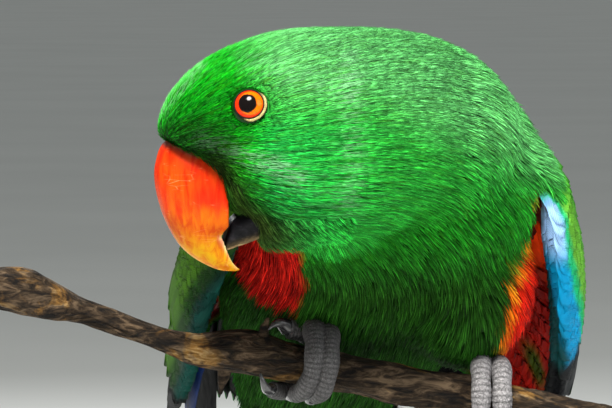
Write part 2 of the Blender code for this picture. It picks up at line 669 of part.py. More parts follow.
def wing_core(name, surface, flip):
    """The wing's arm and the mat of its feather roots, thick at the shoulder and thin behind."""
    rings = []
    for back, depth in ARM_DEPTHS:
        outer, inner = [], []
        for column in range(ARM_COLUMNS + 1):
            across = column / ARM_COLUMNS
            here, normal, _ = surface_frame(surface, back, across)
            hollow = 0.35 + 0.65 * min(1.0, across / 0.55)
            edge = min(1.0, 4.0 * min(across, 1.0 - across) + 0.25)
            outer.append(here - normal * (ARM_SINK - edge))
            inner.append(here - normal * (ARM_SINK + depth * hollow * edge))
        ring = outer + inner[::-1]
        rings.append([body_point(point[0], -point[1] if flip else point[1], point[2]) for point in ring])
    return loft(name, rings, finish_material("green", 0.7))


def spread(first_last, count, index):
    return first_last[0] + (first_last[1] - first_last[0]) * index / max(count - 1, 1)


def make_wing(side, room):
    """A folded wing: the arm and its overlapping rows of feathers."""
    flip = side == "right"

    def surface(back, across):
        return wing_surface(back, across, WING_SPREAD[side], WING_RAISE[side])

    wing = wing_core("wing_" + side, surface, flip)
    feathers = []
    for _, count, root, tips, roots_across, tips_across, half_width, sinks, tilt in FLIGHT_ROWS:
        for index in range(count):
            sink = spread(sinks, count, index)
            root_place = (root, spread(roots_across, count, index))
            tip_place = (tips[index], spread(tips_across, count, index))
            feathers.append(vane(surface, body_point, root_place, tip_place, half_width, (sink, sink),
                                 tilt=tilt, thick=(0.7, 0.5), flip=flip))
    for count, root, tip, roots_across, tips_across, half_width in COVERT_ROWS:
        for index in range(count):
            root_place = (root, spread(roots_across, count, index))
            tip_place = (tip, spread(tips_across, count, index))
            feathers.append(vane(surface, body_point, root_place, tip_place, half_width, (-2.0, 0.9),
                                 tilt=2.0, thick=(1.2, 0.8), parts=SHORT_VANE, flip=flip))
    fuse_all(wing, feathers)
    keep_largest(wing)
    combine(wing, room, "DIFFERENCE", keep=True)
    keep_largest(wing)
    merge_flat_faces(wing)
    shade_round(wing, 35.0)
    return wing


def tail_point(along, out, rise):
    """A place told from the tail's root, along the tail, to the bird's left, and towards its upper face."""
    reach = along * math.cos(TAIL_DROP) - rise * math.sin(TAIL_DROP)
    drop = -along * math.sin(TAIL_DROP) + rise * math.cos(TAIL_DROP)
    sideways = reach * math.sin(TAIL_SWING) + out * math.cos(TAIL_SWING)
    reach = reach * math.cos(TAIL_SWING) - out * math.sin(TAIL_SWING)
    return body_point(TAIL_CUT + GAP + reach, sideways, TAIL_ROOT_DORSAL + drop)


def tail_surface(along, across):
    """The tail's upper face, fanned a little and arched across; across runs from -1 to 1."""
    half_span = TAIL_SPAN[0] + TAIL_SPAN[1] * max(along, 0.0) / TAIL_LENGTH
    return Vector((along, across * half_span, TAIL_ARCH * (1.0 - across * across)))


def make_tail():
    """Pairs of overlapping tail feathers under a covert root that meets the rump."""
    rings = []
    for along, half_width, half_depth in TAIL_ROOT:
        centre = tail_point(along, 0, 0)
        side = tail_point(along, 1, 0) - centre
        top = tail_point(along, 0, 1) - centre
        if along == 0:
            side = body_point(0, 1, 0) - body_point(0, 0, 0)
            top = body_point(0, 0, 1) - body_point(0, 0, 0)
        rings.append(oval_ring(centre, side, top, half_width, half_depth, 18))
    tail = loft("tail", rings, finish_material("green", 0.7))
    feathers = []
    for pair in range(TAIL_PAIRS):
        for side in (-1.0, 1.0):
            across = side * spread((0.10, 0.90), TAIL_PAIRS, pair)
            layer = -1.0 * pair - (0.5 if side < 0 else 0.0)
            tip = TAIL_LENGTH - 1.1 * pair
            feathers.append(vane(tail_surface, tail_point, (14, across * 0.7), (tip, across), 10.5,
                                 (layer, layer), tilt=-1.2 * side, thick=(0.9, 0.6), parts=SQUARE_VANE))
    fuse_all(tail, feathers)
    keep_largest(tail)
    shade_round(tail, 35.0)
    return tail


def perch_at(x):
    """The branch's middle line and radius at a given x."""
    places = [row[0] for row in PERCH_STATIONS]
    row = smooth_value(places, [row[1:] for row in PERCH_STATIONS], x)
    return Vector((x, row[0], row[1])), float(row[2])


def make_perch():
    """A short cut of branch with knots, a spur and a splintered end."""
    places = []
    for start, end in zip(PERCH_STATIONS[:-1], PERCH_STATIONS[1:]):
        steps = max(1, round((end[0] - start[0]) / PERCH_STEP))
        places += [start[0] + (end[0] - start[0]) * step / steps for step in range(steps)]
    places.append(PERCH_STATIONS[-1][0])
    rings = []
    for index, x in enumerate(places):
        point, radius = perch_at(x)
        ring = []
        for side in range(PERCH_SIDES):
            turn = math.tau * side / PERCH_SIDES
            bark = 1.0 + 0.05 * math.sin(3 * turn + x * 0.19) + 0.04 * math.sin(2 * turn - x * 0.31)
            along = 0.0
            if index == 0:
                along = -2.5 * (side % 3)
            ring.append(point + Vector((along + 0.25 * radius * math.sin(turn),
                                        -math.cos(turn) * radius * bark, math.sin(turn) * radius * bark)))
        rings.append(ring)
    perch = loft("perch", rings, finish_material("wood", 0.8))
    for x, degrees, length, lean in SPURS:
        point, radius = perch_at(x)
        turn = math.radians(degrees)
        out = Vector((lean * 0.1, -math.cos(turn), math.sin(turn))).normalized()
        base = point + out * (radius * 0.4)
        last = len(SPUR_RADII) - 1
        spur = [base + out * (step * (radius * 0.6 + length) / last) for step in range(last + 1)]
        sizes = [(size, size) for size in SPUR_RADII]
        combine(perch, loft("spur", path_rings(spur, sizes, 7, up=Vector((1, 0, 0)))), "UNION")
    keep_largest(perch)
    shade_round(perch, 50.0)
    return perch


def grip_point(foot_x, along, turn, height):
    """A place round the branch."""
    point, radius = perch_at(foot_x + along)
    angle = math.radians(turn)
    return point + Vector((0, -math.cos(angle), math.sin(angle))) * (radius + height)


def toe_path(foot_x, rows):
    """Smooth rows along one toe and their places."""
    samples = smooth_samples(rows, 2)
    return samples, [grip_point(foot_x, row[0], row[1], row[2]) for row in samples]


def make_foot(side, perch_room):
    """A foot of four toes and a shank, and its four claws as pieces of their own."""
    foot_x, toes, outward = FEET[side]
    palm = grip_point(foot_x, 0.0, 124, 5.0)
    ankle = palm + Vector((outward * 1.0, 9.5, 7.5))
    shank = [palm + (ankle - palm) * part for part in (-0.25, 0.2, 0.6, 1.0)]
    foot = loft("foot_" + side, path_rings(shank, [(4.4, 4.0), (4.0, 3.6), (3.4, 3.2), (3.6, 3.6)], 10,
                                           up=Vector((1, 0, 0))), finish_material("grey", 0.6))
    pieces, claws = [], []
    for toe, rows in toes.items():
        samples, centres = toe_path(foot_x, rows)
        sizes = []
        for index, row in enumerate(samples):
            pad = 1.0 + 0.05 * math.cos(math.pi * index)
            sizes.append((row[3] * pad, row[3] * 0.94 * pad))
        pieces.append(loft("toe", path_rings(centres, sizes, 8, up=Vector((1, 0.02, 0.01)))))
        claws.append((toe, samples[-1], samples[-2], sizes[-1][0]))
    fuse_all(foot, pieces)
    keep_largest(foot)
    combine(foot, perch_room, "DIFFERENCE", keep=True)
    keep_largest(foot)
    for toe, last, before, radius in claws:
        make_claw("claw_" + side + "_" + toe, foot_x, last, before, radius, foot, perch_room)
    shade_round(foot, 45.0)
    return foot


def make_claw(name, foot_x, last, before, radius, foot, perch_room):
    """A curved claw that meets its toe's end."""
    step = (last - before)
    step = step / max(1e-6, abs(step[1]) + abs(step[0]) * 4.0)
    rows = []
    for part in range(CLAW_STEPS + 1):
        run = part / CLAW_STEPS
        along = last[0] + step[0] * run * CLAW_ALONG
        turn = last[1] + step[1] * run * CLAW_TURN
        height = last[2] + CLAW_ARCH * (math.sin(math.pi * run) - run)
        rows.append((along, turn, height))
    centres = [grip_point(foot_x, *row) for row in rows]
    slims = [1.0 - 0.93 * (part / CLAW_STEPS) ** 1.3 for part in range(CLAW_STEPS + 1)]
    sizes = [(radius * 0.74 * slim, radius * 0.86 * slim) for slim in slims]
    back = (centres[0] - centres[1]).normalized()
    centres[0] = centres[0] + back * 0.8
    rings = path_rings(centres, sizes, 7, up=Vector((1, 0.02, 0.01)))
    claw = loft(name, rings, finish_material("black", 0.3))
    grown = inflated(foot, "foot_room")
    combine(claw, grown, "DIFFERENCE")
    combine(claw, perch_room, "DIFFERENCE", keep=True)
    keep_largest(claw)
    shade_round(claw, 50.0)


def make_leg(side, torso, foot, perch_room):
    """The feathered thigh, set in a pocket of the belly and open below for the shank."""
    centre, radii = (Vector(values) for values in THIGHS[side])
    rings = []
    steps = 8
    for step in range(1, steps):
        turn = math.pi * step / steps
        middle = centre + Vector((0, 0, radii.z * math.cos(turn)))
        rings.append(oval_ring(middle, Vector((1, 0, 0)), Vector((0, 1, 0)),
                               radii.x * math.sin(turn), radii.y * math.sin(turn), 12))
    leg = loft("leg_" + side, rings, finish_material("green", 0.8))
    combine(torso, inflated(leg, "leg_room"), "DIFFERENCE")
    keep_largest(torso)
    combine(leg, inflated(foot, "foot_room", GAP + 0.1), "DIFFERENCE")
    combine(leg, perch_room, "DIFFERENCE", keep=True)
    keep_largest(leg)
    shade_round(leg, 50.0)
    return leg


def make_stand(perch_room):
    """A round flat base and two short rods up to the branch."""
    rings = []
    centre = -PERCH_TO_BASE
    profile = ((BASE_RADIUS - BASE_EDGE * 0.4, 0.0), (BASE_RADIUS, BASE_EDGE * 0.4),
               (BASE_RADIUS, BASE_THICKNESS - BASE_EDGE),
               (BASE_RADIUS - BASE_EDGE * 0.3, BASE_THICKNESS - BASE_EDGE * 0.3),
               (BASE_RADIUS - BASE_EDGE, BASE_THICKNESS))
    for radius, height in profile:
        rings.append(oval_ring(centre + Vector((0, 0, height)), Vector((1, 0, 0)), Vector((0, 1, 0)),
                               radius, radius, 36))
    base = loft("stand_base", rings, finish_material("stand", 0.45))
    shade_round(base, 30.0)
    for name, x in ROD_PLACES:
        top, _ = perch_at(x)
        foot = Vector((x, top[1], -PERCH_HEIGHT + BASE_THICKNESS + GAP))
        steps = [(foot + Vector((0, 0, height)), radius) for radius, height in ROD_PROFILE]
        steps.append((top, ROD_RADIUS))
        rings = [oval_ring(point, Vector((1, 0, 0)), Vector((0, 1, 0)), radius, radius, 12)
                 for point, radius in steps]
        rod = loft(name, rings, finish_material("stand", 0.35, 0.8))
        combine(rod, perch_room, "DIFFERENCE", keep=True)
        keep_largest(rod)
        shade_round(rod, 30.0)


def build():
    for old in list(bpy.data.objects):
        bpy.data.objects.remove(old, do_unlink=True)
    pieces, room = make_head_neck_torso()
    make_bill(pieces["head"])
    make_eyes(pieces["head"])
    wings = {side: make_wing(side, room) for side in FEET}
    make_tail()
    perch = make_perch()
    perch_room = inflated(perch, "perch_room")
    for side in FEET:
        foot = make_foot(side, perch_room)
        leg = make_leg(side, pieces["torso"], foot, perch_room)
        combine(wings[side], inflated(leg, "leg_room"), "DIFFERENCE")
        keep_largest(wings[side])
        combine(pieces["torso"], inflated(foot, "foot_room", GAP + 0.1), "DIFFERENCE")
        keep_largest(pieces["torso"])
    make_stand(perch_room)
    remove_object(room)
    remove_object(perch_room)


build()
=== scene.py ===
"""Looks of a life-size male eclectus parrot, leaning forward on a cut branch held by a plain stand.

Places are worked out in millimetres from the middle of the branch between the feet, with +Z up and -Y
towards the side that the lowered head shows, and turned into the frame's metres when a mesh is made.
"""

import math
from functools import partial

import bmesh
import bpy
import numpy as np
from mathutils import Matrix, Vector
from mathutils.bvhtree import BVHTree


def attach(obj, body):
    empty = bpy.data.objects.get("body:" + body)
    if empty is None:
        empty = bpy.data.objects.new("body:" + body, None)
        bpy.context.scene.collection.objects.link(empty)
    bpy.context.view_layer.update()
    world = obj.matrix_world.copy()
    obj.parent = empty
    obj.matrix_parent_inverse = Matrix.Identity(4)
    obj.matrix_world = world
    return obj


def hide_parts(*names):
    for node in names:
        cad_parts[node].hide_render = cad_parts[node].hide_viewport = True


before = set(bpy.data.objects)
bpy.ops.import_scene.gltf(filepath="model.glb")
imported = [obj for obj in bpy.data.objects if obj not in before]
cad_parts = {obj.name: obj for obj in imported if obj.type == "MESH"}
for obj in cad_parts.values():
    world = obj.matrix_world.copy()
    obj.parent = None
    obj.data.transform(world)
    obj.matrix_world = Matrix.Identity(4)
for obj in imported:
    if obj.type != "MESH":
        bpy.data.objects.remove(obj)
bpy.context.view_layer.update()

MM = 0.001
PERCH_HEIGHT = 124.0
PERCH_TO_BASE = np.array((-22.0, -38.0, PERCH_HEIGHT))

# Driving sizes of the bird, as in the solids
STANCE_CENTRE = np.array((18.0, 0.0, 0.0))
HEADING = math.radians(12.0)
BODY_ROLL = math.radians(9.0)
BODY_PITCH = math.radians(42.0)
SHOULDER_FORWARD = 9.0
SHOULDER_UP = 64.0
HEAD_CENTRE = np.array((-15.4, -42.0, 75.5))
HEAD_TURN = math.radians(8.0)
EYE_RADIUS = 6.2
EYE_PLACE = (-2.8, 6.3, 19.7)
EYE_FACING = (-0.20, 0.27, 0.94)
EYE_DEPTH = 4.9
EYE_BULGE = 0.035
EYE_RINGS = 72
TRUNK_STATIONS = (
    (-104, -26, 10, 8.5), (-88, -15, 18.5, 17), (-64, 7, 31, 27.5), (-38, 31, 43.5, 36),
    (-14, 50.5, 44.5, 38.5), (9, 62, 41, 35.5), (22, 69, 33, 29.5), (31, 73, 20, 18))
NECK_STATIONS = (
    (29, 2, 66, 32, 29), (27, -14, 70, 34, 30), (20, -27, 72.5, 31, 29.5), (10, -36, 73, 27, 29.5),
    (-2, -40.5, 72.3, 24, 30.0), (-12, -42, 71.6, 22, 28.6))
HEAD_STATIONS = (
    (-26.1, -3.0, 2.2, 3.0), (-25.3, -3.4, 6.2, 6.5), (-23.9, -3.3, 9.6, 9.0), (-22.0, -3.0, 12.7, 11.0),
    (-17.9, -3.2, 17.5, 14.0), (-13.8, -3.2, 21.0, 16.4), (-9.4, -3.7, 24.1, 18.4), (-5.0, -4.4, 26.7, 19.9),
    (0.0, -4.4, 28.6, 21.2), (5.5, -4.1, 30.0, 22.2), (13.8, -4.1, 30.8, 23.0))
FACE_EDGE = (
    (-22.8, -4.8), (-19.8, -6.7), (-16.2, -8.5), (-12.7, -11.0), (-9.9, -14.0), (-8.5, -16.9),
    (-7.4, -19.8), (-6.6, -22.0), (-2.8, -22.8), (0.6, -24.5), (2.2, -27.8), (1.9, -32.7), (3.3, -37.7))
FACE_PIVOT = np.array((-24.0, -34.0))
FACE_LAYERS = ((-26.0, 1.36), (-9.9, 1.0), (9.9, 1.0), (26.0, 1.36))
THIGHS = (((45.5, 10, 31), (21, 26, 28)), ((4, 15, 25), (14, 20, 20)))
BILL_BACK_EDGE = (
    (-9.2, -16.9), (-8.7, -19.8), (-8.3, -22.0), (-8.1, -25.0), (-8.1, -28.6), (-9.9, -30.6), (4.0, -33.0))
AHEAD = 60.0
SKIN_VOXEL = 1.25
HEAD_SHARE = 0.44
BODY_COUNT = 56
COAT_TRIES = 34000

UPPER_BILL_STATIONS = (
    (-16.5, 0.0, 1.4, -22.0, 9.4), (-23.9, -4.4, -2.8, -26.7, 9.7), (-26.3, -10.2, -5.0, -28.6, 9.5),
    (-26.6, -15.1, -6.3, -29.2, 9.2), (-25.4, -21.2, -8.0, -29.8, 8.5), (-23.4, -26.7, -8.4, -30.5, 7.6),
    (-19.9, -32.7, -7.8, -31.9, 6.3), (-15.4, -36.8, -7.0, -33.8, 4.9), (-9.4, -39.8, -5.5, -36.9, 3.1),
    (-5.0, -40.4, -3.9, -39.0, 1.3), (-2.6, -40.2, -2.5, -39.9, 0.4))
LOWER_BILL_STATIONS = (
    (6.9, -21.0, 9.6, -28.6, 8.6), (2.2, -22.0, 4.4, -30.8, 8.2), (-1.1, -22.9, 0.0, -32.5, 7.6),
    (-3.9, -24.5, -3.9, -33.8, 6.8), (-6.0, -27.0, -6.3, -34.6, 5.6), (-7.2, -30.6, -7.8, -34.2, 3.6))
UPPER_SHAPE = ((0.0, 0.80), (0.16, 0.93), (0.36, 1.0), (0.60, 0.92), (0.80, 0.70), (0.94, 0.38), (1.0, 0.0))
LOWER_SHAPE = ((0.0, 0.82), (0.28, 1.0), (0.58, 0.93), (0.84, 0.62), (1.0, 0.0))
PERCH_STATIONS = (
    (-92.0, -18, 29.5, 3.8), (-86.9, -17, 28.7, 5.6), (-78.4, -15, 27.3, 6.3), (-70.4, -13, 24.9, 5.3),
    (-64.2, -11, 22.4, 3.9), (-47.7, -7, 15.9, 3.4), (-38.6, -4, 12.5, 3.6), (-31.2, -2, 10.2, 4.4),
    (-23.9, -1, 9.7, 5.9), (-15.9, 0, 9.0, 6.2), (-4.5, 0, 6.5, 5.7), (6.8, 0, 4.0, 5.5),
    (26.7, 0, 0.0, 5.7), (38.1, 0, -1.7, 5.5), (55.1, 1, -4.8, 5.3), (73.8, 2, -8.8, 5.1),
    (86.9, 3, -11.9, 5.0), (97.7, 4, -14.8, 4.8))
WING_STATIONS = (
    (-14, 33, -7, 34, -1, 31, 6), (-4, 41, -12, 43, 2, 32, 19), (8, 46, -17, 48, 5, 25, 33),
    (30, 52, -20, 53.5, 9, 16, 45), (62, 58, -22, 56, 11, 10, 44), (100, 58, -22, 52, 10, 8, 36),
    (140, 52, -18, 42, 8, 7, 24), (180, 43, -13, 33, 5, 8, 14), (215, 36, -8, 27, 3, 11, 8),
    (250, 32, -5, 24, 1, 12, 5))
WING_SPREAD = {"left": 6.0, "right": -14.0}
WING_RAISE = {"left": 0.0, "right": 12.0}
ARM_GAP = 2.6
ARM_COLUMNS = 25
TAIL_CUT = 112.0
TAIL_LENGTH = 118.0
TAIL_DROP = math.radians(8.0)
TAIL_SWING = math.radians(-5.0)

TOE_COUNT = 32
TOE_UP = (1.0, 0.02, 0.01)
# For each ring of lid: its size, thickness and rise, each with what the lower hind side adds, its shade
# and how much of that side is cream
LIDS = (
    ("lid_inner_", (3.98, 0.0), (0.14, 0.0), (0.55, 0.0), 1.0, 0.0),
    ("lid_", (4.12, 0.36), (0.12, 0.26), (0.25, 0.0), 1.0, 1.0),
    ("lid_outer_", (4.22, 0.62), (0.10, 0.06), (-0.15, -0.1), 1.6, 0.0))
LID_DARK = np.array((0.010, 0.008, 0.006))
LID_CREAM = np.array((0.50, 0.42, 0.17))
LID_STEPS = 96
LID_SIDES = 14

PATCH_REACH = 0.0015
LATTICE_SIZE = 4096
LATTICE_PRIMES = (73856093, 19349663, 83492791)

FLOOR_HALF = 60.0
LIGHT_AIM = (-0.03, -0.05, 0.17)
# For each light: place, size, power and colour
LIGHTS = (
    ("key_light", (-0.15, -0.70, 1.00), 0.35, 32.0, (1.0, 0.98, 0.92)),
    ("fill_light", (0.9, -0.7, 0.75), 0.8, 7.0, (0.95, 0.98, 1.0)),
    ("back_light", (-0.35, 0.75, 0.8), 0.5, 14.0, (1.0, 1.0, 1.0)))
CAMERA_LENS = 299.5
CAMERA_AIM = (-0.022, -0.083, 0.1778)
CAMERA_RISE = math.radians(3.0)
CAMERA_REACH = 1.4

random = np.random.default_rng(20)


def turns(count):
    """Even turns of a circle, in radians."""
    return np.arange(count) * math.tau / count


def to_frame(points):
    """Millimetres from the branch to metres in the frame."""
    return (np.asarray(points, float) + PERCH_TO_BASE) * MM


def stance_point(forward, out, up):
    """A place told from the feet: forward where the bird heads, out to its left, and up square to its roll."""
    ahead = np.array((math.sin(HEADING), -math.cos(HEADING), 0.0))
    level = np.array((math.cos(HEADING), math.sin(HEADING), 0.0))
    upright = np.array((0.0, 0.0, 1.0))
    left = level * math.cos(BODY_ROLL) - upright * math.sin(BODY_ROLL)
    rise = level * math.sin(BODY_ROLL) + upright * math.cos(BODY_ROLL)
    return (STANCE_CENTRE + np.multiply.outer(forward, ahead) + np.multiply.outer(out, left)
            + np.multiply.outer(up, rise))


def body_point(back, out, dorsal):
    """A place told from the shoulders: back along the pitched body, out to its left, and towards its back."""
    cos_p, sin_p = math.cos(BODY_PITCH), math.sin(BODY_PITCH)
    back, out, dorsal = np.asarray(back, float), np.asarray(out, float), np.asarray(dorsal, float)
    return stance_point(SHOULDER_FORWARD - back * cos_p - dorsal * sin_p, out,
                        SHOULDER_UP - back * sin_p + dorsal * cos_p)


BODY_ORIGIN = body_point(0.0, 0.0, 0.0)
BODY_AXES = np.array([body_point(*unit) - BODY_ORIGIN for unit in np.eye(3)])
HEAD_AXES = np.array(((math.cos(HEAD_TURN), math.sin(HEAD_TURN), 0.0), (0.0, 0.0, 1.0),
                      (math.sin(HEAD_TURN), -math.cos(HEAD_TURN), 0.0)))


def body_place(points):
    """Back, out and dorsal of points."""
    return (points - BODY_ORIGIN) @ BODY_AXES.T


def head_point(along, height, out):
    """A place in the head's profile; out is towards the bird's left cheek."""
    return (HEAD_CENTRE + np.multiply.outer(along, HEAD_AXES[0]) + np.multiply.outer(height, HEAD_AXES[1])
            + np.multiply.outer(out, HEAD_AXES[2]))


def head_place(points):
    """Along, height and out of points in the head's profile."""
    return (points - HEAD_CENTRE) @ HEAD_AXES.T


def unit(vectors):
    return vectors / np.maximum(np.linalg.norm(vectors, axis=-1, keepdims=True), 1e-9)


def step_between(low, high, values):
    """A smooth step from 0 at low to 1 at high."""
    part = np.clip((np.asarray(values, float) - low) / (high - low), 0.0, 1.0)
    return part * part * (3.0 - 2.0 * part)


def curve_between(part, first, leave, second, arrive, width=1.0):
    """A smooth curve from first to second that leaves and arrives at given slopes."""
    square, cube = part ** 2, part ** 3
    return ((2 * cube - 3 * square + 1) * first + (cube - 2 * square + part) * width * leave
            + (3 * square - 2 * cube) * second + (cube - square) * width * arrive)


def smooth_rows(stations, at, first=0):
    """Smooth curves through a table of stations, read at many places of its first column or row number."""
    table = np.array(stations, float)
    places = table[:, 0] if first else np.arange(len(table))
    values = table[:, first:]
    slopes = np.gradient(values, places, axis=0)
    at = np.atleast_1d(np.asarray(at, float))
    index = np.clip(np.searchsorted(places, at) - 1, 0, len(places) - 2)
    width = (places[index + 1] - places[index])[:, None]
    part = np.clip((at - places[index])[:, None] / width, 0.0, 1.0)
    return curve_between(part, values[index], slopes[index], values[index + 1], slopes[index + 1], width)


def smooth_table(stations, count):
    """A table of stations as an even count of smooth rows."""
    return smooth_rows(stations, np.linspace(0, len(stations) - 1, count))


def layered(colours, *coats):
    """Colours with others laid over them, each by its share."""
    for target, share in coats:
        share = np.asarray(share)[..., None]
        colours = colours * (1.0 - share) + np.asarray(target) * share
    return colours


# Meshes

def link_mesh(name, mesh, material=None):
    """A piece that holds a mesh, smoothly shaded."""
    mesh.shade_smooth()
    made = bpy.data.objects.new(name, mesh)
    bpy.context.scene.collection.objects.link(made)
    if material:
        mesh.materials.append(material)
    return made


def mesh_piece(name, points, faces, material=None):
    """A piece from millimetre points and lists of faces."""
    mesh = bpy.data.meshes.new(name)
    mesh.from_pydata(to_frame(points).tolist(), [], faces)
    mesh.validate()
    return link_mesh(name, mesh, material)


def fast_mesh(name, points, triangles, material):
    """A piece from millimetre points and an array of triangles."""
    mesh = bpy.data.meshes.new(name)
    mesh.vertices.add(len(points))
    mesh.vertices.foreach_set("co", to_frame(points).astype(np.float32).ravel())
    mesh.loops.add(len(triangles) * 3)
    mesh.loops.foreach_set("vertex_index", triangles.astype(np.int32).ravel())
    mesh.polygons.add(len(triangles))
    mesh.polygons.foreach_set("loop_start", np.arange(0, len(triangles) * 3, 3, dtype=np.int32))
    mesh.update(calc_edges=True)
    return link_mesh(name, mesh, material)


def face_outwards(made):
    """Turns a closed piece's normals outwards."""
    shape = bmesh.new()
    shape.from_mesh(made.data)
    bmesh.ops.recalc_face_normals(shape, faces=shape.faces)
    if shape.calc_volume(signed=True) < 0:
        bmesh.ops.reverse_faces(shape, faces=shape.faces)
    shape.to_mesh(made.data)
    shape.free()
    return made


def ring_faces(rings, count, closed=True):
    """Quads of a tube of rings, with its ends closed by fans round two last points."""
    faces = []
    for ring in range(rings - 1):
        for side in range(count):
            near = ring * count + side
            beside = ring * count + (side + 1) % count
            faces.append((near, beside, beside + count, near + count))
    if closed:
        for ring, pole in ((0, rings * count), (rings - 1, rings * count + 1)):
            for side in range(count):
                pair = (ring * count + side, ring * count + (side + 1) % count)
                faces.append((pair[1], pair[0], pole) if ring == 0 else (pair[0], pair[1], pole))
    return faces


def grid_quads(rows, columns):
    """Quads of an open grid, and the numbers of its points."""
    corner = np.arange(rows * columns).reshape(rows, columns)
    quads = np.stack((corner[:-1, :-1], corner[:-1, 1:], corner[1:, 1:], corner[1:, :-1]), axis=-1)
    return quads.reshape(-1, 4), corner


def tube(name, rings, material=None):
    """A closed tube through rings of equal count."""
    rings = np.asarray(rings, float)
    poles = np.array((rings[0].mean(axis=0), rings[-1].mean(axis=0)))
    points = np.concatenate((rings.reshape(-1, 3), poles))
    return face_outwards(mesh_piece(name, points, ring_faces(len(rings), rings.shape[1]), material))


def path_rings(points, sides, tops, count, up=(0.0, 0.0, 1.0)):
    """Oval rings square to a path."""
    points = np.asarray(points, float)
    along = unit(np.gradient(points, axis=0))
    side = unit(np.cross(along, np.asarray(up, float)))
    top = np.cross(side, along)
    turn = turns(count)
    return (points[:, None] + side[:, None] * (np.asarray(sides)[:, None] * np.cos(turn))[..., None]
            + top[:, None] * (np.asarray(tops)[:, None] * np.sin(turn))[..., None])


def upright_rings(centre, profile, count):
    """Round level rings over a centre, from a profile of radius and height."""
    turn = turns(count)
    return [np.column_stack((radius * np.cos(turn), radius * np.sin(turn), height + 0 * turn)) + centre
            for radius, height in profile]


def bake_modifiers(made):
    """Puts the mesh that a piece's modifiers give in place of its own."""
    bpy.context.view_layer.update()
    graph = bpy.context.evaluated_depsgraph_get()
    fresh = bpy.data.meshes.new_from_object(made.evaluated_get(graph))
    old = made.data
    made.modifiers.clear()
    made.data = fresh
    bpy.data.meshes.remove(old)


def combine(made, other, operation):
    """Joins a piece with another, or cuts it by the other, which is used up."""
    step = made.modifiers.new(operation.lower(), "BOOLEAN")
    step.object = other
    step.operation = operation
    step.solver = "MANIFOLD"
    bake_modifiers(made)
    bpy.data.objects.remove(other, do_unlink=True)


def soften(made, voxel, factor, rounds):
    """An even mesh, relaxed a little."""
    remesh = made.modifiers.new("remesh", "REMESH")
    remesh.mode = "VOXEL"
    remesh.voxel_size = voxel * MM
    relax = made.modifiers.new("relax", "SMOOTH")
    relax.factor = factor
    relax.iterations = rounds
    bake_modifiers(made)
    made.data.shade_smooth()


def join_pieces(pieces):
    """Joins pieces into the first."""
    with bpy.context.temp_override(active_object=pieces[0], selected_editable_objects=pieces):
        bpy.ops.object.join()
    return pieces[0]


def paint(made, colours, name="tint"):
    """Writes linear colours to a mesh, one for each point."""
    layer = made.data.color_attributes.new(name, "FLOAT_COLOR", "POINT")
    flat = np.ones((len(colours), 4), np.float32)
    flat[:, :3] = colours
    layer.data.foreach_set("color", flat.ravel())


def set_map(made, name, values):
    """Writes a UV map, one value for each face corner."""
    layer = made.data.uv_layers.new(name=name)
    layer.data.foreach_set("uv", np.asarray(values, np.float32).ravel())


def set_material(made, material):
    made.data.materials.clear()
    made.data.materials.append(material)


def finish_piece(made, slot, *nodes):
    """Puts a finished piece on the body, in place of the nodes it stands for."""
    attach(made, "root")
    if nodes:
        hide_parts(*nodes)
    return made


# Materials

SPECULAR = "Specular IOR Level"


def grey(part):
    return (part, part, part)


# For each: roughness, noise of the colour, its ramp, share of the mesh's tint, the relief and other sockets.
# A noise is scale, detail, roughness and distortion; a relief is scale, detail, strength and distance.
GRAINED = {
    "coat_feathers": (0.6, (900.0, 3.0), ((0.3, grey(0.75)), (0.7, (1.15, 1.15, 1.12))), 0.5,
                      (2600.0, 2.0, 0.25, 0.0002), {SPECULAR: 0.03}),
    "down_skin": (0.9, (700.0, 5.0), ((0.3, grey(0.3)), (0.75, grey(0.7))), 1.0,
                  (1500.0, 3.0, 0.6, 0.0004), {SPECULAR: 0.2}),
    # The dark horn's brightest stop paints mottled highlights
    "dark_horn": (0.42, (420.0, 6.0, 0.65, 0.4),
                  ((0.38, (0.25, 0.25, 0.3)), (0.55, (0.9, 0.9, 0.95)), (0.66, (2.6, 2.4, 2.6))), 1.0,
                  (600.0, 4.0, 0.3, 0.0003), {SPECULAR: 0.08}),
    "claw_horn": (0.22, (500.0, 4.0, 0.6, 0.5), ((0.3, (0.012, 0.012, 0.014)), (0.7, (0.06, 0.058, 0.06))), 0.0,
                  (900.0, 3.0, 0.15, 0.0003), {"Coat Weight": 0.3, "Coat Roughness": 0.12}),
    "stand_paint": (0.5, (60.0, 5.0), ((0.3, (0.020, 0.020, 0.022)), (0.75, (0.034, 0.034, 0.036))), 0.0,
                    (1500.0, 2.0, 0.12, 0.0002), {SPECULAR: 0.4}),
    "studio_paper": (0.8, (3.0, 2.0), ((0.3, (0.66, 0.67, 0.66)), (0.7, (0.70, 0.71, 0.70))), 0.0, None, {})}


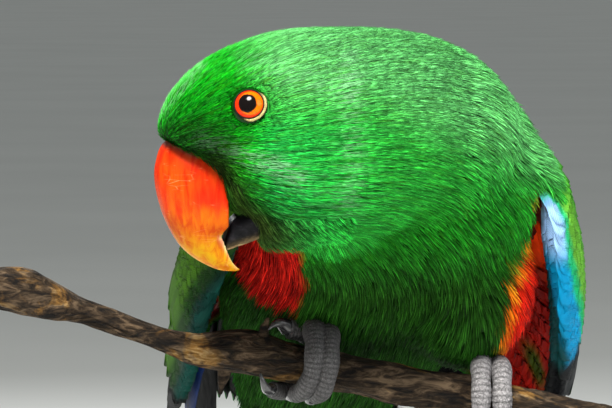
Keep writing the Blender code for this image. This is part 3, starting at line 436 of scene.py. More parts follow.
class Look:
    """A material while its shader is put together."""

    def __init__(self, name, roughness, sockets):
        self.made = bpy.data.materials.new(name)
        self.made.use_nodes = True
        self.tree = self.made.node_tree
        self.shader = self.tree.nodes["Principled BSDF"]
        for key, value in {"Roughness": roughness, **sockets}.items():
            self.shader.inputs[key].default_value = value

    def node(self, kind, inputs, result=0, **settings):
        """One result of a new node; its inputs are values or other nodes' results."""
        made = self.tree.nodes.new("ShaderNode" + kind)
        for key, value in settings.items():
            setattr(made, key, value)
        for key, value in inputs.items():
            if isinstance(value, bpy.types.NodeSocket):
                self.tree.links.new(value, made.inputs[key])
            else:
                made.inputs[key].default_value = value
        return made.outputs[result]

    def place(self, turn=(0, 0, 0), scale=(1, 1, 1)):
        """Object coordinates, turned and scaled."""
        source = self.node("TexCoord", {}, "Object")
        return self.node("Mapping", {"Vector": source, "Rotation": turn, "Scale": scale})

    def noise(self, place, scale, detail=4.0, rough=0.6, distortion=0.0):
        return self.node("TexNoise", {"Vector": place, "Scale": scale, "Detail": detail, "Roughness": rough,
                                      "Distortion": distortion}, "Fac")

    def cells(self, place, scale):
        """The distance to the edges of random cells."""
        return self.node("TexVoronoi", {"Vector": place, "Scale": scale}, "Distance", feature="DISTANCE_TO_EDGE")

    def ramp(self, factor, stops):
        """A colour ramp; stops are (place, colour)."""
        made = self.node("ValToRGB", {"Fac": factor}, "Color")
        elements = made.node.color_ramp.elements
        while len(elements) < len(stops):
            elements.new(0.5)
        for element, (place, colour) in zip(elements, stops):
            element.position = place
            element.color = (*colour, 1.0)
        return made

    def mix(self, factor, first, second, blend="MULTIPLY"):
        """Two colours mixed; second may be a fixed colour."""
        if not isinstance(second, bpy.types.NodeSocket):
            second = (*second, 1.0)
        return self.node("Mix", {0: factor, 6: first, 7: second}, 2, data_type="RGBA", blend_type=blend)

    def tint(self):
        """The mesh's own colours."""
        return self.node("Attribute", {}, "Color", attribute_name="tint")

    def finish(self, colour, height=None, strength=0.0, distance=0.0):
        """The material, once its colour and relief are linked to its shader."""
        self.tree.links.new(colour, self.shader.inputs["Base Color"])
        if height:
            bump = self.node("Bump", {"Height": height, "Strength": strength, "Distance": distance})
            self.tree.links.new(bump, self.shader.inputs["Normal"])
        return self.made


def grained_material(name):
    """A material whose colour and relief come from two noises."""
    roughness, grain, stops, tinted, relief, sockets = GRAINED[name]
    look = Look(name, roughness, sockets)
    place = look.place()
    colour = look.ramp(look.noise(place, *grain), stops)
    if tinted:
        colour = look.mix(tinted, look.tint(), colour)
    if relief:
        return look.finish(colour, look.noise(place, *relief[:2]), *relief[2:])
    return look.finish(colour)


def vane_material():
    """Long feathers: tint from the mesh, with barbs that slant from the shaft on the vane's own map."""
    look = Look("vane_feathers", 0.5, {SPECULAR: 0.03})
    parts = look.node("SeparateXYZ", {"Vector": look.node("UVMap", {}, uv_map="vane")}).node.outputs
    across = look.node("Math", {0: parts["X"]}, operation="ABSOLUTE")
    slant = look.node("Math", {0: across, 1: 1.6}, operation="MULTIPLY")
    along = look.node("Math", {0: parts["Y"], 1: slant}, operation="SUBTRACT")
    lines = look.node("Math", {0: along, 1: 9.0}, operation="MULTIPLY")
    wave = look.node("Math", {0: lines}, operation="SINE")
    shade = look.ramp(look.noise(look.place(), 260.0), ((0.3, (0.75, 0.75, 0.78)), (0.7, (1.15, 1.15, 1.12))))
    lined = look.node("MapRange", {"Value": wave, "From Min": -1.0, "From Max": 1.0, "To Min": 0.72,
                                   "To Max": 1.0})
    return look.finish(look.mix(1.0, look.mix(1.0, look.tint(), shade), lined), wave, 0.35, 0.00012)


def upper_bill_material():
    """Horn: the mesh's tint with long growth streaks, flaked pale lines and a soft polish."""
    look = Look("bill_horn", 0.36, {"Coat Weight": 0.04, "Coat Roughness": 0.2, SPECULAR: 0.06})
    streak = look.noise(look.place((0, 0, -HEAD_TURN), (1.0, 1.0, 0.18)), 520.0, 5.0, 0.6, 0.6)
    shade = look.ramp(streak, ((0.38, (0.85, 0.36, 0.4)), (0.51, grey(1.0)), (0.64, (1.05, 1.5, 1.6))))
    cracks = look.cells(look.place((0, 0.25, -HEAD_TURN), (0.55, 0.55, 2.6)), 300.0)
    line = look.ramp(cracks, ((0.0, grey(0.4)), (0.045, grey(0.0))))
    some = look.ramp(look.noise(look.place(), 170.0, 3.0), ((0.52, grey(0.0)), (0.68, grey(1.0))))
    tinted = look.mix(0.75, look.tint(), shade)
    flaked = look.mix(look.mix(1.0, line, some), tinted, (0.72, 0.33, 0.14), "MIX")
    return look.finish(flaked, streak, 0.25, 0.0004)


def eye_material():
    """The ball's tint holds pupil and iris; fine spokes break the iris, under a clear wet coat."""
    look = Look("eye_ball", 0.12, {"Coat Weight": 0.14, "Coat Roughness": 0.02, SPECULAR: 0.05})
    spokes = look.node("UVMap", {}, uv_map="iris")
    wide = look.node("Mapping", {"Vector": spokes, "Scale": (60.0, 5.0, 1.0)})
    fibre = look.ramp(look.noise(wide, 1.0, 3.0), ((0.3, (0.8, 0.6, 0.5)), (0.7, (1.05, 1.1, 1.1))))
    return look.finish(look.mix(0.7, look.tint(), fibre))


def scaly_material(name, low, high, scale, roughness, gloss):
    """Dry scaly or wrinkled skin, with pale flecks of painted highlight."""
    look = Look(name, roughness, {SPECULAR: gloss})
    place = look.place()
    grain = look.noise(place, scale * 2.0, 5.0)
    # The brightest stop paints pale flecks as highlights
    tone = look.ramp(grain, ((0.3, low), (0.62, high), (0.74, [1.9 * part for part in high])))
    line = look.ramp(look.cells(place, scale), ((0.0, grey(0.25)), (0.09, grey(1.0))))
    tinted = look.mix(1.0, look.mix(0.8, tone, line), look.tint())
    return look.finish(tinted, look.mix(0.7, line, tone), 0.6, 0.0005)


def bark_material():
    """Dry bark: brown-grey ridges along the branch, ochre where it has peeled, dark in the cracks."""
    look = Look("bark", 0.85, {SPECULAR: 0.2})
    fine = look.noise(look.place((0, 0.2, 0), (0.3, 1.0, 1.0)), 420.0, 7.0, 0.68, 0.8)
    broad = look.noise(look.place(), 55.0, 4.0, 0.6, 0.8)
    base = look.ramp(fine, ((0.38, (0.003, 0.002, 0.0015)), (0.5, (0.030, 0.018, 0.009)),
                            (0.64, (0.125, 0.084, 0.050))))
    ochre = look.ramp(fine, ((0.38, (0.04, 0.018, 0.004)), (0.53, (0.20, 0.100, 0.022)),
                             (0.66, (0.40, 0.27, 0.12))))
    peel = look.ramp(broad, ((0.57, grey(0.0)), (0.64, grey(1.0))))
    return look.finish(look.mix(1.0, look.mix(peel, base, ochre, "MIX"), look.tint()), fine, 1.0, 0.0018)


def steel_material():
    """Satin steel with fine turning marks round the rod."""
    look = Look("satin_steel", 0.32, {"Metallic": 1.0})
    marks = look.noise(look.place(scale=(0.05, 0.05, 1.0)), 2500.0, 3.0)
    tone = look.ramp(marks, ((0.3, (0.42, 0.42, 0.43)), (0.7, (0.60, 0.60, 0.61))))
    return look.finish(tone, marks, 0.1, 0.0001)


# The bird's smooth form

def body_rings():
    """Rings of trunk, neck and head."""
    rows = smooth_table(TRUNK_STATIONS, 43)
    trunk = path_rings(stance_point(rows[:, 0], rows[:, 0] * 0, rows[:, 1]), rows[:, 2], rows[:, 3], BODY_COUNT)
    rows = smooth_table(NECK_STATIONS, 31)
    neck = path_rings(rows[:, :3], rows[:, 3], rows[:, 4], BODY_COUNT)
    turn = turns(BODY_COUNT)
    head = np.array([head_point(row[0] + 0 * turn, row[1] + row[2] * np.sin(turn), row[3] * np.cos(turn))
                     for row in smooth_table(HEAD_STATIONS, 41)])
    return trunk, neck, head


def ball_rings(centre, radii, rings=24, count=40):
    """Rings of an oval ball."""
    rise = np.pi * np.arange(1, rings) / rings
    turn = turns(count)
    flat = np.stack((np.multiply.outer(np.sin(rise), np.cos(turn)), np.multiply.outer(np.sin(rise), np.sin(turn)),
                     np.multiply.outer(np.cos(rise), np.ones(count))), axis=-1)
    return np.array(centre, float) + flat * np.array(radii, float)


def profile_block(name, edge, layers, shift=(0.0, 0.0)):
    """A block in front of an edge in the head's profile, through layers of how far out and how wide it is."""
    outline = np.array(edge + ((edge[-1][0], -AHEAD), (-AHEAD, -AHEAD), (-AHEAD, 0.6), (-24.5, -4.0))) + shift
    rings = []
    for out, flare in layers:
        spread = FACE_PIVOT + (outline - FACE_PIVOT) * flare
        rings.append(head_point(spread[:, 0], spread[:, 1], out + 0 * spread[:, 0]))
    count, total = len(outline), len(outline) * len(layers)
    faces = [tuple(range(count)), tuple(range(total - 1, total - count - 1, -1))]
    faces += ring_faces(len(layers), count, closed=False)
    return face_outwards(mesh_piece(name, np.concatenate(rings), faces))


def smooth_body():
    """Trunk, neck, head and thighs as one smooth closed surface at the coat's outer face."""
    trunk, neck, head = body_rings()
    body = tube("skin", trunk)
    for rings in (neck, head, *(ball_rings(*thigh) for thigh in THIGHS)):
        combine(body, tube("form", rings), "UNION")
    # The space round the bill widens away from it, so that the cheeks taper to the bill
    combine(body, profile_block("face_space", FACE_EDGE, FACE_LAYERS), "DIFFERENCE")
    soften(body, SKIN_VOXEL, 0.6, 10)
    return body


class Surface:
    """A mesh read for its points, normals and nearest places, in millimetres."""

    def __init__(self, made):
        mesh = made.data
        mesh.calc_loop_triangles()
        flat = np.empty(len(mesh.vertices) * 3, np.float32)
        mesh.vertices.foreach_get("co", flat)
        self.points = flat.reshape(-1, 3).astype(float) / MM - PERCH_TO_BASE
        mesh.vertex_normals.foreach_get("vector", flat)
        self.normals = unit(flat.reshape(-1, 3).astype(float))
        corners = np.empty(len(mesh.loop_triangles) * 3, np.int32)
        mesh.loop_triangles.foreach_get("vertices", corners)
        self.triangles = corners.reshape(-1, 3)
        self.centres = self.points[self.triangles].mean(axis=1)
        self.tree = BVHTree.FromPolygons(self.points.tolist(), self.triangles.tolist())

    def nearest(self, places):
        """The nearest surface places and smooth normals."""
        found, normals = np.empty((2, len(places), 3))
        for index, place in enumerate(places.tolist()):
            found[index], _, face, _ = self.tree.find_nearest(Vector(place))
            normals[index] = self.normals[self.triangles[face]].mean(axis=0)
        return found, unit(normals)

    def scatter(self, count, wanted):
        """Random places on the wanted triangles, even by area."""
        corners = self.points[self.triangles]
        area = np.linalg.norm(np.cross(corners[:, 1] - corners[:, 0], corners[:, 2] - corners[:, 0]), axis=1)
        area = area * wanted
        chosen = random.choice(len(area), size=count, p=area / area.sum())
        first, second = random.random((2, count))
        over = first + second > 1.0
        first[over], second[over] = 1.0 - first[over], 1.0 - second[over]
        corner = corners[chosen]
        places = (corner[:, 0] + (corner[:, 1] - corner[:, 0]) * first[:, None]
                  + (corner[:, 2] - corner[:, 0]) * second[:, None])
        return places, unit(self.normals[self.triangles[chosen]].mean(axis=1))


def thin_out(places, spacing):
    """Keeps places that are at least their own spacing from those kept before."""
    cell = float(spacing.min())
    kept, grid = [], {}
    keys = np.floor(places / cell).astype(int).tolist()
    reach = math.ceil(float(spacing.max()) / cell)
    offsets = [(x - reach, y - reach, z - reach) for x, y, z in np.ndindex(*(2 * reach + 1,) * 3)]
    for index, place in enumerate(places.tolist()):
        key = keys[index]
        limit = spacing[index] ** 2
        for step in offsets:
            near = grid.get((key[0] + step[0], key[1] + step[1], key[2] + step[2]))
            if near and (near[0] - place[0]) ** 2 + (near[1] - place[1]) ** 2 + (near[2] - place[2]) ** 2 < limit:
                break
        else:
            grid[tuple(key)] = place
            kept.append(index)
    return np.array(kept)


def lie_path():
    """The line that the feathers lie along, from the bill to the tail."""
    head = head_point(np.array((-27.0, -20.0, -10.0, 0.0)), np.array((-12.0, -11.0, -9.0, -6.0)), np.zeros(4))
    neck = np.array(NECK_STATIONS, float)[::-1, :3][1:5]
    rows = np.array(TRUNK_STATIONS, float)[::-1][1:]
    trunk = stance_point(rows[:, 0], rows[:, 0] * 0, rows[:, 1])
    points = smooth_table(np.concatenate((head, neck, trunk)), 90)
    return points, unit(np.gradient(points, axis=0))


LIE_POINTS, LIE_DIRECTIONS = lie_path()
LIE_SOURCE = head_point(-22.0, -5.0, 0.0)


def path_gaps(places):
    """How far places are from each point of the line from bill to tail."""
    return np.linalg.norm(places[:, None] - LIE_POINTS[None], axis=2)


def path_share(places):
    """How far along the line from bill to tail each place is, from 0 to 1."""
    return path_gaps(places).argmin(axis=1) / (len(LIE_POINTS) - 1.0)


def lie_at(places, normals):
    """The direction feathers lie in, along the surface: away from the bill on the head, and along the body."""
    gap = path_gaps(places)
    weight = np.exp(-((gap - gap.min(axis=1, keepdims=True)) / 9.0) ** 2)
    along = unit(weight @ LIE_DIRECTIONS)
    away = places - LIE_SOURCE
    headward = 1.0 - step_between(28.0, 56.0, np.linalg.norm(away, axis=1))
    lie = along * (1.0 - headward[:, None]) + unit(away) * headward[:, None]
    return unit(lie - normals * np.sum(lie * normals, axis=1, keepdims=True))


def wrap_map(places):
    """The skin's own unwrap: round the line from bill to tail, and along it."""
    index = path_gaps(places).argmin(axis=1)
    along = LIE_DIRECTIONS[index]
    side = unit(np.cross(along, np.array((0.0, 0.3, 1.0))))
    top = np.cross(side, along)
    off = places - LIE_POINTS[index]
    turn = np.arctan2(np.sum(off * side, axis=1), np.sum(off * top, axis=1))
    slide = np.sum(off * along, axis=1) / 260.0
    share = index / (len(LIE_POINTS) - 1.0)
    return np.stack((0.5 + turn / math.tau * 0.92, 0.04 + 0.90 * np.clip(share + slide, 0.0, 1.0)), axis=1)


# Markings

GREEN_FACE = np.array((0.002, 0.300, 0.006))
GREEN_CHEEK = np.array((0.008, 0.310, 0.045))
# Paler green of painted sheen, on the crown, the top of the neck and the right shoulder
GREEN_TOP_SHEEN = np.array((0.110, 0.460, 0.130))
GREEN_NECK = np.array((0.024, 0.370, 0.036))
GREEN_BREAST = np.array((0.012, 0.230, 0.012))
# Belly green darkened with painted shade
GREEN_BELLY_SHADE = np.array((0.012, 0.062, 0.005))
GREEN_BACK = np.array((0.014, 0.250, 0.020))
GREEN_DARK = np.array((0.003, 0.024, 0.002))
GREEN_OLIVE = np.array((0.026, 0.040, 0.007))
GREEN_YELLOW = np.array((0.120, 0.430, 0.015))
# Pale green of painted sheen on the barbs' tips
SHEEN_PALE = np.array((0.340, 0.620, 0.380))
RED = np.array((0.850, 0.016, 0.006))
# Red darkened with painted shade, for under the wings and the far flank
SHADED_RED = np.array((0.180, 0.006, 0.005))
ORANGE = np.array((0.950, 0.200, 0.008))
YELLOW = np.array((0.800, 0.520, 0.020))
WING_GREEN = np.array((0.014, 0.260, 0.020))
# Pale yellow-green of painted sheen on the wing
WING_SHEEN_YELLOW = np.array((0.150, 0.460, 0.040))
# Olive of painted shade, on the right wing's leading coverts
WING_SHADE_OLIVE = np.array((0.015, 0.030, 0.001))
# Dark teal of painted shade, on the wing's lower inner edge
TEAL_SHADE = np.array((0.004, 0.050, 0.040))
FLIGHT_BLACK = np.array((0.005, 0.005, 0.006))
FLIGHT_BLUE = np.array((0.004, 0.020, 0.100))
STRAND_WIDTH = 0.34
STRAND_REACH = 3.2
# Lines of pale sheen on the head, in its profile: strength, start, end and reach
SHEEN_LINES = (
    (1.0, (-14.0, -3.5), (12.0, -13.0), 2.6), (0.45, (0.0, 19.0), (26.0, 10.0), 4.5),
    (0.55, (27.0, 20.0), (27.0, -22.0), 4.0), (0.75, (-26.5, 3.0), (-13.0, 18.0), 1.6),
    (0.25, (6.0, -10.0), (22.0, -20.0), 4.0))

# The red flank's edge: X by height on the left, and out by back on the right
FLANK_EDGE = (4.0, 11.0, 18.0, 26.0, 34.0, 41.0, 50.0), (53.5, 55.4, 57.9, 59.8, 63.0, 64.6, 66.0)
FAR_FLANK_EDGE = (4.0, 14.0, 30.0, 60.0), (26.0, 13.0, 8.0, 12.0)


def near_line(along, height, start, end, reach):
    """1 on a line in the head's profile, falling to 0 at its reach."""
    start, end = np.array(start, float), np.array(end, float)
    line = end - start
    off = np.column_stack((along, height)) - start
    part = np.clip(off @ line / (line @ line), 0.0, 1.0)
    gap = np.linalg.norm(off - part[:, None] * line, axis=1)
    return np.exp(-(gap / reach) ** 2)


def sheen_share(places):
    """How pale the barbs' tips are, where light grazes the head's soft plumage."""
    along, height, _ = head_place(places).T
    return np.clip(sum(strength * near_line(along, height, *line) for strength, *line in SHEEN_LINES), 0.0, 0.9)


def coarse_share(places):
    """Where the lower face's strands stand out strongest against each other."""
    along, height, _ = head_place(places).T
    return np.maximum(near_line(along, height, (-24.0, -5.0), (14.0, -22.0), 8.0),
                      0.7 * near_line(along, height, (14.0, -22.0), (34.0, -16.0), 9.0))


def flank_share(places):
    """How far into the red flank a place is: 0 at its edge, 1 where the red darkens with painted shade under the
    wing.
    """
    back, side, dorsal = body_place(places).T
    left = (places[:, 0] - np.interp(places[:, 2], *FLANK_EDGE)) / 4.6
    right = (np.abs(side) + 0.55 * dorsal - np.interp(back, *FAR_FLANK_EDGE)) / 5.0
    outside = step_between(44.0, 54.0, back) + step_between(-3.0, -7.0, back) + step_between(-4.0, 6.0, dorsal)
    outside = outside + step_between(37.5, 39.0, side) * (back < 10.0)
    along, height, _ = head_place(places).T
    outside = outside + step_between(-36.0, -33.0, height) * (side < 0.0) * (along < 45.0)
    return np.clip(np.where(side > 0, left, right), -1.5, 1.5) - 3.0 * outside - 3.0 * (dorsal < -41.0)


def lattice_noise(places, cell, seed):
    """Soft random values in space that change from cell to cell."""
    table = np.random.default_rng(seed).normal(0.0, 1.0, LATTICE_SIZE)
    at = places / cell
    low = np.floor(at).astype(np.int64)
    part = at - low
    part = part * part * (3.0 - 2.0 * part)
    total = np.zeros(at.shape[:-1])
    for corner in np.ndindex(2, 2, 2):
        key = (low + corner) * np.array(LATTICE_PRIMES)
        spot = (key[..., 0] ^ key[..., 1] ^ key[..., 2]) & (LATTICE_SIZE - 1)
        total += table[spot] * np.prod(np.where(corner, part, 1.0 - part), axis=-1)
    return total


def strand_tone(places, ways, seed):
    """Uneven tones drawn out along the lie, so that neighbouring barbs make long fine strands."""
    total = np.zeros(places.shape[:-1])
    for step in np.linspace(-STRAND_REACH, STRAND_REACH, 11):
        total += lattice_noise(places + ways * step, STRAND_WIDTH, seed)
    return total / total.std()


def coat_colour(places):
    """The bird's markings at places on its coat, as linear colours, with painted sheen on its top and painted
    shade under the chin, low on the breast and belly, and on the flanks under the wings.
    """
    along, height, _ = head_place(places).T
    _, side, dorsal = body_place(places).T
    across, level = places[:, 0], places[:, 2]
    share = path_share(places)
    # Height, raised towards the right shoulder, for where the painted sheen lies
    top = level + 0.55 * np.maximum(across - 20.0, 0.0)
    before_eye = step_between(11.0, 4.0, np.hypot((along + 11.0) * 0.8, height - 4.0))
    under = step_between(0.42, 0.55, share) * step_between(14.0, -4.0, dorsal)
    near_bill = 1.0 - step_between(5.0, 14.0, np.hypot((along + 18.0) / 1.5, height + 6.0))
    gape = near_line(along, height, (-10.0, -13.0), (2.0, -29.0), 6.5)
    chin = step_between(-20.0, -32.0, height) * step_between(26.0, 6.0, along)
    flank = flank_share(places)
    left = (side > 0) * 1.0
    return layered(
        np.tile(GREEN_FACE, (len(places), 1)),
        (GREEN_CHEEK, step_between(-4.0, 8.0, along) * step_between(10.0, -2.0, height)),
        (GREEN_NECK, step_between(0.20, 0.42, share)),
        # Painted sheen: paler green on the crown, the top of the neck and the right shoulder
        (GREEN_TOP_SHEEN, step_between(73.0, 94.0, top) * step_between(-6.0, 12.0, along)),
        (GREEN_FACE * 0.45, 0.7 * before_eye),
        (GREEN_BACK, step_between(6.0, 24.0, dorsal) * step_between(0.50, 0.62, share)),
        # Painted shade: the breast and then the belly darker lower down, as if lit from above
        (GREEN_BREAST, under * step_between(62.0, 44.0, level)),
        (GREEN_BELLY_SHADE, under * step_between(48.0, 22.0, level)),
        (GREEN_DARK, 0.85 * near_bill),
        (GREEN_OLIVE * 0.55, 0.95 * gape * (share < 0.4)),
        # Painted shade: dark olive under the chin
        (GREEN_OLIVE, 0.85 * chin * (share < 0.5)),
        (YELLOW, 0.65 * left * step_between(-0.18, 0.05, flank)),
        (ORANGE, left * step_between(-0.05, 0.2, flank)),
        (RED, left * step_between(0.25, 0.7, flank)),
        # Painted shade: the red flank darkens under the wing
        (SHADED_RED, 0.8 * left * step_between(1.05, 1.4, flank)),
        # Painted shade: the far flank's red darkened
        (0.30 * RED + 0.70 * SHADED_RED, (1.0 - left) * step_between(-0.3, 0.3, flank)))


# Tufts of barbs

def tuft_spines(surface, places, normals, length, steps, loose):
    """Each tuft's middle line, and the way out of the coat along it."""
    spine, faces_up = [places], [normals]
    here, up = places, normals
    for _ in range(steps):
        ahead = unit(lie_at(here, up) + 1.6 * loose * np.array((0.0, 0.0, -1.0)))
        target = here + ahead * (length / steps)[:, None]
        held, up = surface.nearest(target)
        here = held * (1.0 - loose) + target * loose
        spine.append(here)
        faces_up.append(up)
    return np.array(spine), np.array(faces_up)


def tuft_points(spine, faces_up, forward, sizes, lateral):
    """Points of every barb: three at each station and one at its tip."""
    _, width, barb, depth, lift = (size[:, None] for size in sizes)
    steps, count, barbs = len(spine) - 1, spine.shape[1], len(lateral)
    side = unit(np.cross(forward, faces_up))
    points = np.empty((count, barbs, steps * 3 + 1, 3))
    reach = 1.0 - 0.28 * lateral ** 2 + random.normal(0.0, 0.07, (count, barbs))
    jitter = random.normal(0.0, 0.10, (count, barbs))
    raise_tip = random.normal(0.0, 0.16, (count, barbs))
    rows = np.arange(count)[:, None]
    for station in range(steps + 1):
        part = station / steps * reach
        lower = np.clip(np.floor(part * steps).astype(int), 0, steps - 1)
        share = (part * steps - lower)[..., None]
        centre, out, across = (way[lower, rows] * (1 - share) + way[lower + 1, rows] * share
                               for way in (spine, faces_up, side))
        out, across = unit(out), unit(across)
        fan = 0.30 + 0.70 * math.sin(0.5 * math.pi * station / steps)
        offset = (lateral + jitter) * 0.5 * width * fan
        rise = (-depth * np.maximum(1.0 - part, 0.0) ** 1.5
                + (lift * (0.4 + raise_tip * 2.0) - 0.35 * lateral ** 2 * lift) * part ** 2)
        middle = centre + across * offset[..., None] + out * rise[..., None]
        if station == steps:
            points[:, :, steps * 3] = middle
            continue
        half = (0.5 * barb * (1.0 - 0.55 * (station / steps) ** 2))[..., None]
        points[:, :, station * 3] = middle - across * half
        points[:, :, station * 3 + 1] = middle + across * half
        points[:, :, station * 3 + 2] = middle + out * (0.55 * half)
    return points


def barb_triangles(steps):
    """Triangles of one pointed three-sided barb."""
    found = [(0, 1, 2)]
    for low in range(0, steps * 3 - 3, 3):
        for first, second in ((low, low + 2), (low + 2, low + 1), (low + 1, low)):
            found += [(first, second, second + 3), (first, second + 3, first + 3)]
    low, tip = steps * 3 - 3, steps * 3
    return np.array(found + [(low, low + 2, tip), (low + 2, low + 1, tip), (low + 1, low, tip)])


def tuft_colours(spine, forward, points, shades):
    """Markings by tuft, dark at the root, in uneven strands with yellow-green ones and pale ones of painted sheen
    among the green.
    """
    uneven, by_tuft, by_barb, fall = shades
    steps, (count, barbs) = len(spine) - 1, points.shape[:2]
    base = coat_colour(spine[-1])
    tips = points[:, :, -1]
    ways = np.broadcast_to(forward[-1][:, None], tips.shape)
    contrast = (1.0 + 1.2 * coarse_share(spine[-1]))[:, None]
    tone = np.exp(uneven * contrast * strand_tone(tips, ways, 31))[..., None]
    tone = tone * random.lognormal(0.0, by_tuft, (count, 1, 1))
    tone = tone * random.lognormal(0.0, by_barb, (count, barbs, 1))
    ramp = np.interp(np.linspace(0.0, 1.0, steps + 1), (0.0, 0.45, 1.0), fall)
    fade = np.concatenate([np.repeat(ramp[:-1], 3), ramp[-1:]])
    sheen = sheen_share(spine[-1])[:, None]
    second = strand_tone(tips, ways, 47)
    # Painted sheen: pale strands where light grazes the plumage
    glint = step_between(0.2, 0.9, second + sheen) * (0.09 + 0.15 * (contrast - 1.0) + sheen)
    late = np.clip((fade / fade.max() - 0.35) * 1.6, 0.0, 1.0)
    yellow = 0.24 * step_between(0.7, 1.6, -second)
    wash = sheen[..., None, None]
    brightest = base.max(axis=1)[:, None, None, None]
    base = base[:, None, None, :]
    green = base[..., 1] > base[..., 0] * 1.8
    colours = layered(
        base * np.clip(tone * fade, 0.10, 2.6)[..., None],
        (GREEN_YELLOW * (base[..., 1:2] / 0.3), green * (yellow[..., None] * late)),
        (base * (0.8 - 0.45 * wash) + SHEEN_PALE * brightest * (1.25 + 0.6 * wash), green * (glint[..., None] * late)))
    return np.clip(colours, 0.0, 1.0).reshape(-1, 3)


def grow_tufts(name, surface, places, normals, sizes, barbs, steps, shades, material, loose=0.0):
    """Tufts of fine pointed barbs over a surface; sizes holds length, width, barb width, depth and lift.

    Shades holds how uneven strands, tufts and barbs are, and the shade at root, middle and tip. Loose tufts
    hang down from the surface.
    """
    sizes = [np.broadcast_to(np.asarray(value, float), len(places)) for value in sizes]
    lateral = np.linspace(-1.0, 1.0, barbs)
    spine, faces_up = tuft_spines(surface, places, normals, sizes[0], steps, loose)
    forward = unit(np.gradient(spine, axis=0))
    points = tuft_points(spine, faces_up, forward, sizes, lateral)
    per_barb = steps * 3 + 1
    starts = np.arange(len(places) * barbs) * per_barb
    triangles = (starts[:, None, None] + barb_triangles(steps)[None]).reshape(-1, 3)
    made = fast_mesh(name, points.reshape(-1, 3), triangles, material)
    paint(made, tuft_colours(spine, forward, points, shades))
    local = np.empty((barbs, per_barb, 2))
    local[..., 0] = lateral[:, None] * PATCH_REACH
    stations = np.append(np.repeat(np.arange(steps), 3), steps)
    local[..., 1] = (stations / steps * 2 - 1) * PATCH_REACH
    by_point = (wrap_map(places)[:, None, None] + local[None]).reshape(-1, 2)
    set_map(made, "OFBake", by_point[triangles.ravel()])
    return made


# Long feathers

def wing_surface(back, across, side):
    """Places on a wing's outer face; across runs from its lower edge, 0, to its upper edge, 1."""
    back, across = np.broadcast_arrays(np.asarray(back, float), np.asarray(across, float))
    shape = back.shape
    back, across = back.ravel(), across.ravel()
    row = smooth_rows(WING_STATIONS, back, 1)
    edge, middle, inner = row[:, 0:2].copy(), row[:, 2:4].copy(), row[:, 4:6].copy()
    droop = WING_SPREAD[side] * np.clip((back - 8.0) / 77.0, 0.0, 1.0)
    edge[:, 0] += droop
    middle[:, 0] += droop * 0.8
    rise = WING_RAISE[side] * np.clip((back - 60.0) / 80.0, 0.0, 1.0)
    for corner in (edge, middle, inner):
        corner[:, 1] += rise
    bend = 2 * middle - 0.5 * (edge + inner)
    rest, share = (1.0 - across)[:, None], across[:, None]
    flat = edge * rest ** 2 + bend * (2 * rest * share) + inner * share ** 2
    return np.column_stack((back, flat)).reshape(*shape, 3)


def wing_point(points, side):
    """World places of points told from the body, with the right wing's turned over."""
    sign = -1.0 if side == "right" else 1.0
    return body_point(points[..., 0], points[..., 1] * sign, points[..., 2])


def edge_share(across):
    """1 in the middle of a wing's arm, less at its two edges."""
    return np.minimum(1.0, 4.0 * np.clip(np.minimum(across, 1.0 - across), 0.0, 1.0) + 0.25)


def arm_inside(back, across, side):
    """The inner face of a wing's arm, towards the body."""
    here, normal, _ = surface_frames(partial(wing_surface, side=side), back, across)
    depth = np.interp(back, (-13, -8, 0, 12, 28, 46, 64, 82, 98), (4, 10, 16, 19, 18, 15, 11, 7, 4))
    hollow = 0.35 + 0.65 * np.minimum(1.0, across / 0.55)
    return here - normal * (ARM_GAP + depth * hollow * edge_share(across))[..., None]


def arm_rim(back, across, side):
    """The wing's lower rim, from its inner face at 0 round to its outer face at 1."""
    back, across = np.broadcast_arrays(np.asarray(back, float), np.asarray(across, float))
    none, near = 0.0 * back, 0.0 * back + 0.10
    corners = np.array((arm_inside(back, near, side), arm_inside(back, none, side),
                        wing_surface(back, none, side), wing_surface(back, near, side)))
    slopes = np.gradient(corners, axis=0)
    place = np.clip(across, 0.0, 1.0) * 3.0
    index = np.minimum(place.astype(int), 2)[None, ..., None]
    ends = [np.take_along_axis(values, index + step, axis=0)[0]
            for step in (0, 1) for values in (corners, slopes)]
    return curve_between((place - index[0, ..., 0])[..., None], *ends)


def tail_surface(along, across):
    """The tail's upper face, fanned a little and arched across; across runs from -1 to 1."""
    along, across = np.broadcast_arrays(np.asarray(along, float), np.asarray(across, float))
    half_span = 10.0 + 12.0 * np.maximum(along, 0.0) / TAIL_LENGTH
    return np.stack((along, across * half_span, 2.2 * (1.0 - across * across)), axis=-1)


def tail_underside(along, across):
    """The tail's lower face."""
    return tail_surface(along, -across) * np.array((1.0, 1.0, -1.0)) - np.array((0.0, 0.0, 3.0))


def tail_point(points):
    """World places of points told from the tail's root: along it, to the bird's left, and to its upper face."""
    along, out, rise = points[..., 0], points[..., 1], points[..., 2]
    reach = along * math.cos(TAIL_DROP) - rise * math.sin(TAIL_DROP)
    drop = -along * math.sin(TAIL_DROP) + rise * math.cos(TAIL_DROP)
    sideways = reach * math.sin(TAIL_SWING) + out * math.cos(TAIL_SWING)
    reach = reach * math.cos(TAIL_SWING) - out * math.sin(TAIL_SWING)
    return body_point(TAIL_CUT + 0.3 + reach, sideways, drop - 4.0)


def surface_frames(surface, back, across):
    """Places, outward normals and widths across of a surface."""
    here = surface(back, across)
    along = surface(back + 1.0, across) - surface(back - 1.0, across)
    side = surface(back, across + 0.02) - surface(back, across - 0.02)
    width = np.linalg.norm(side, axis=-1) / 0.04
    return here, -unit(np.cross(along, side)), width


def vane_triangles(rows, columns):
    """Triangles of one closed vane: its two faces in turn, then its rim."""
    grid = rows * columns
    quads, corner = grid_quads(rows, columns)
    both = np.stack((quads, quads[:, ::-1] + grid), axis=1).reshape(-1, 4)
    rim = np.concatenate((corner[0], corner[1:, -1], corner[-1, -2::-1], corner[-2:0:-1, 0]))
    after = np.roll(rim, -1)
    sides = np.stack((after, rim, rim + grid, after, rim + grid, after + grid), axis=-1)
    return np.concatenate((both[:, (0, 1, 2, 0, 2, 3)].reshape(-1, 3), sides.reshape(-1, 3)))


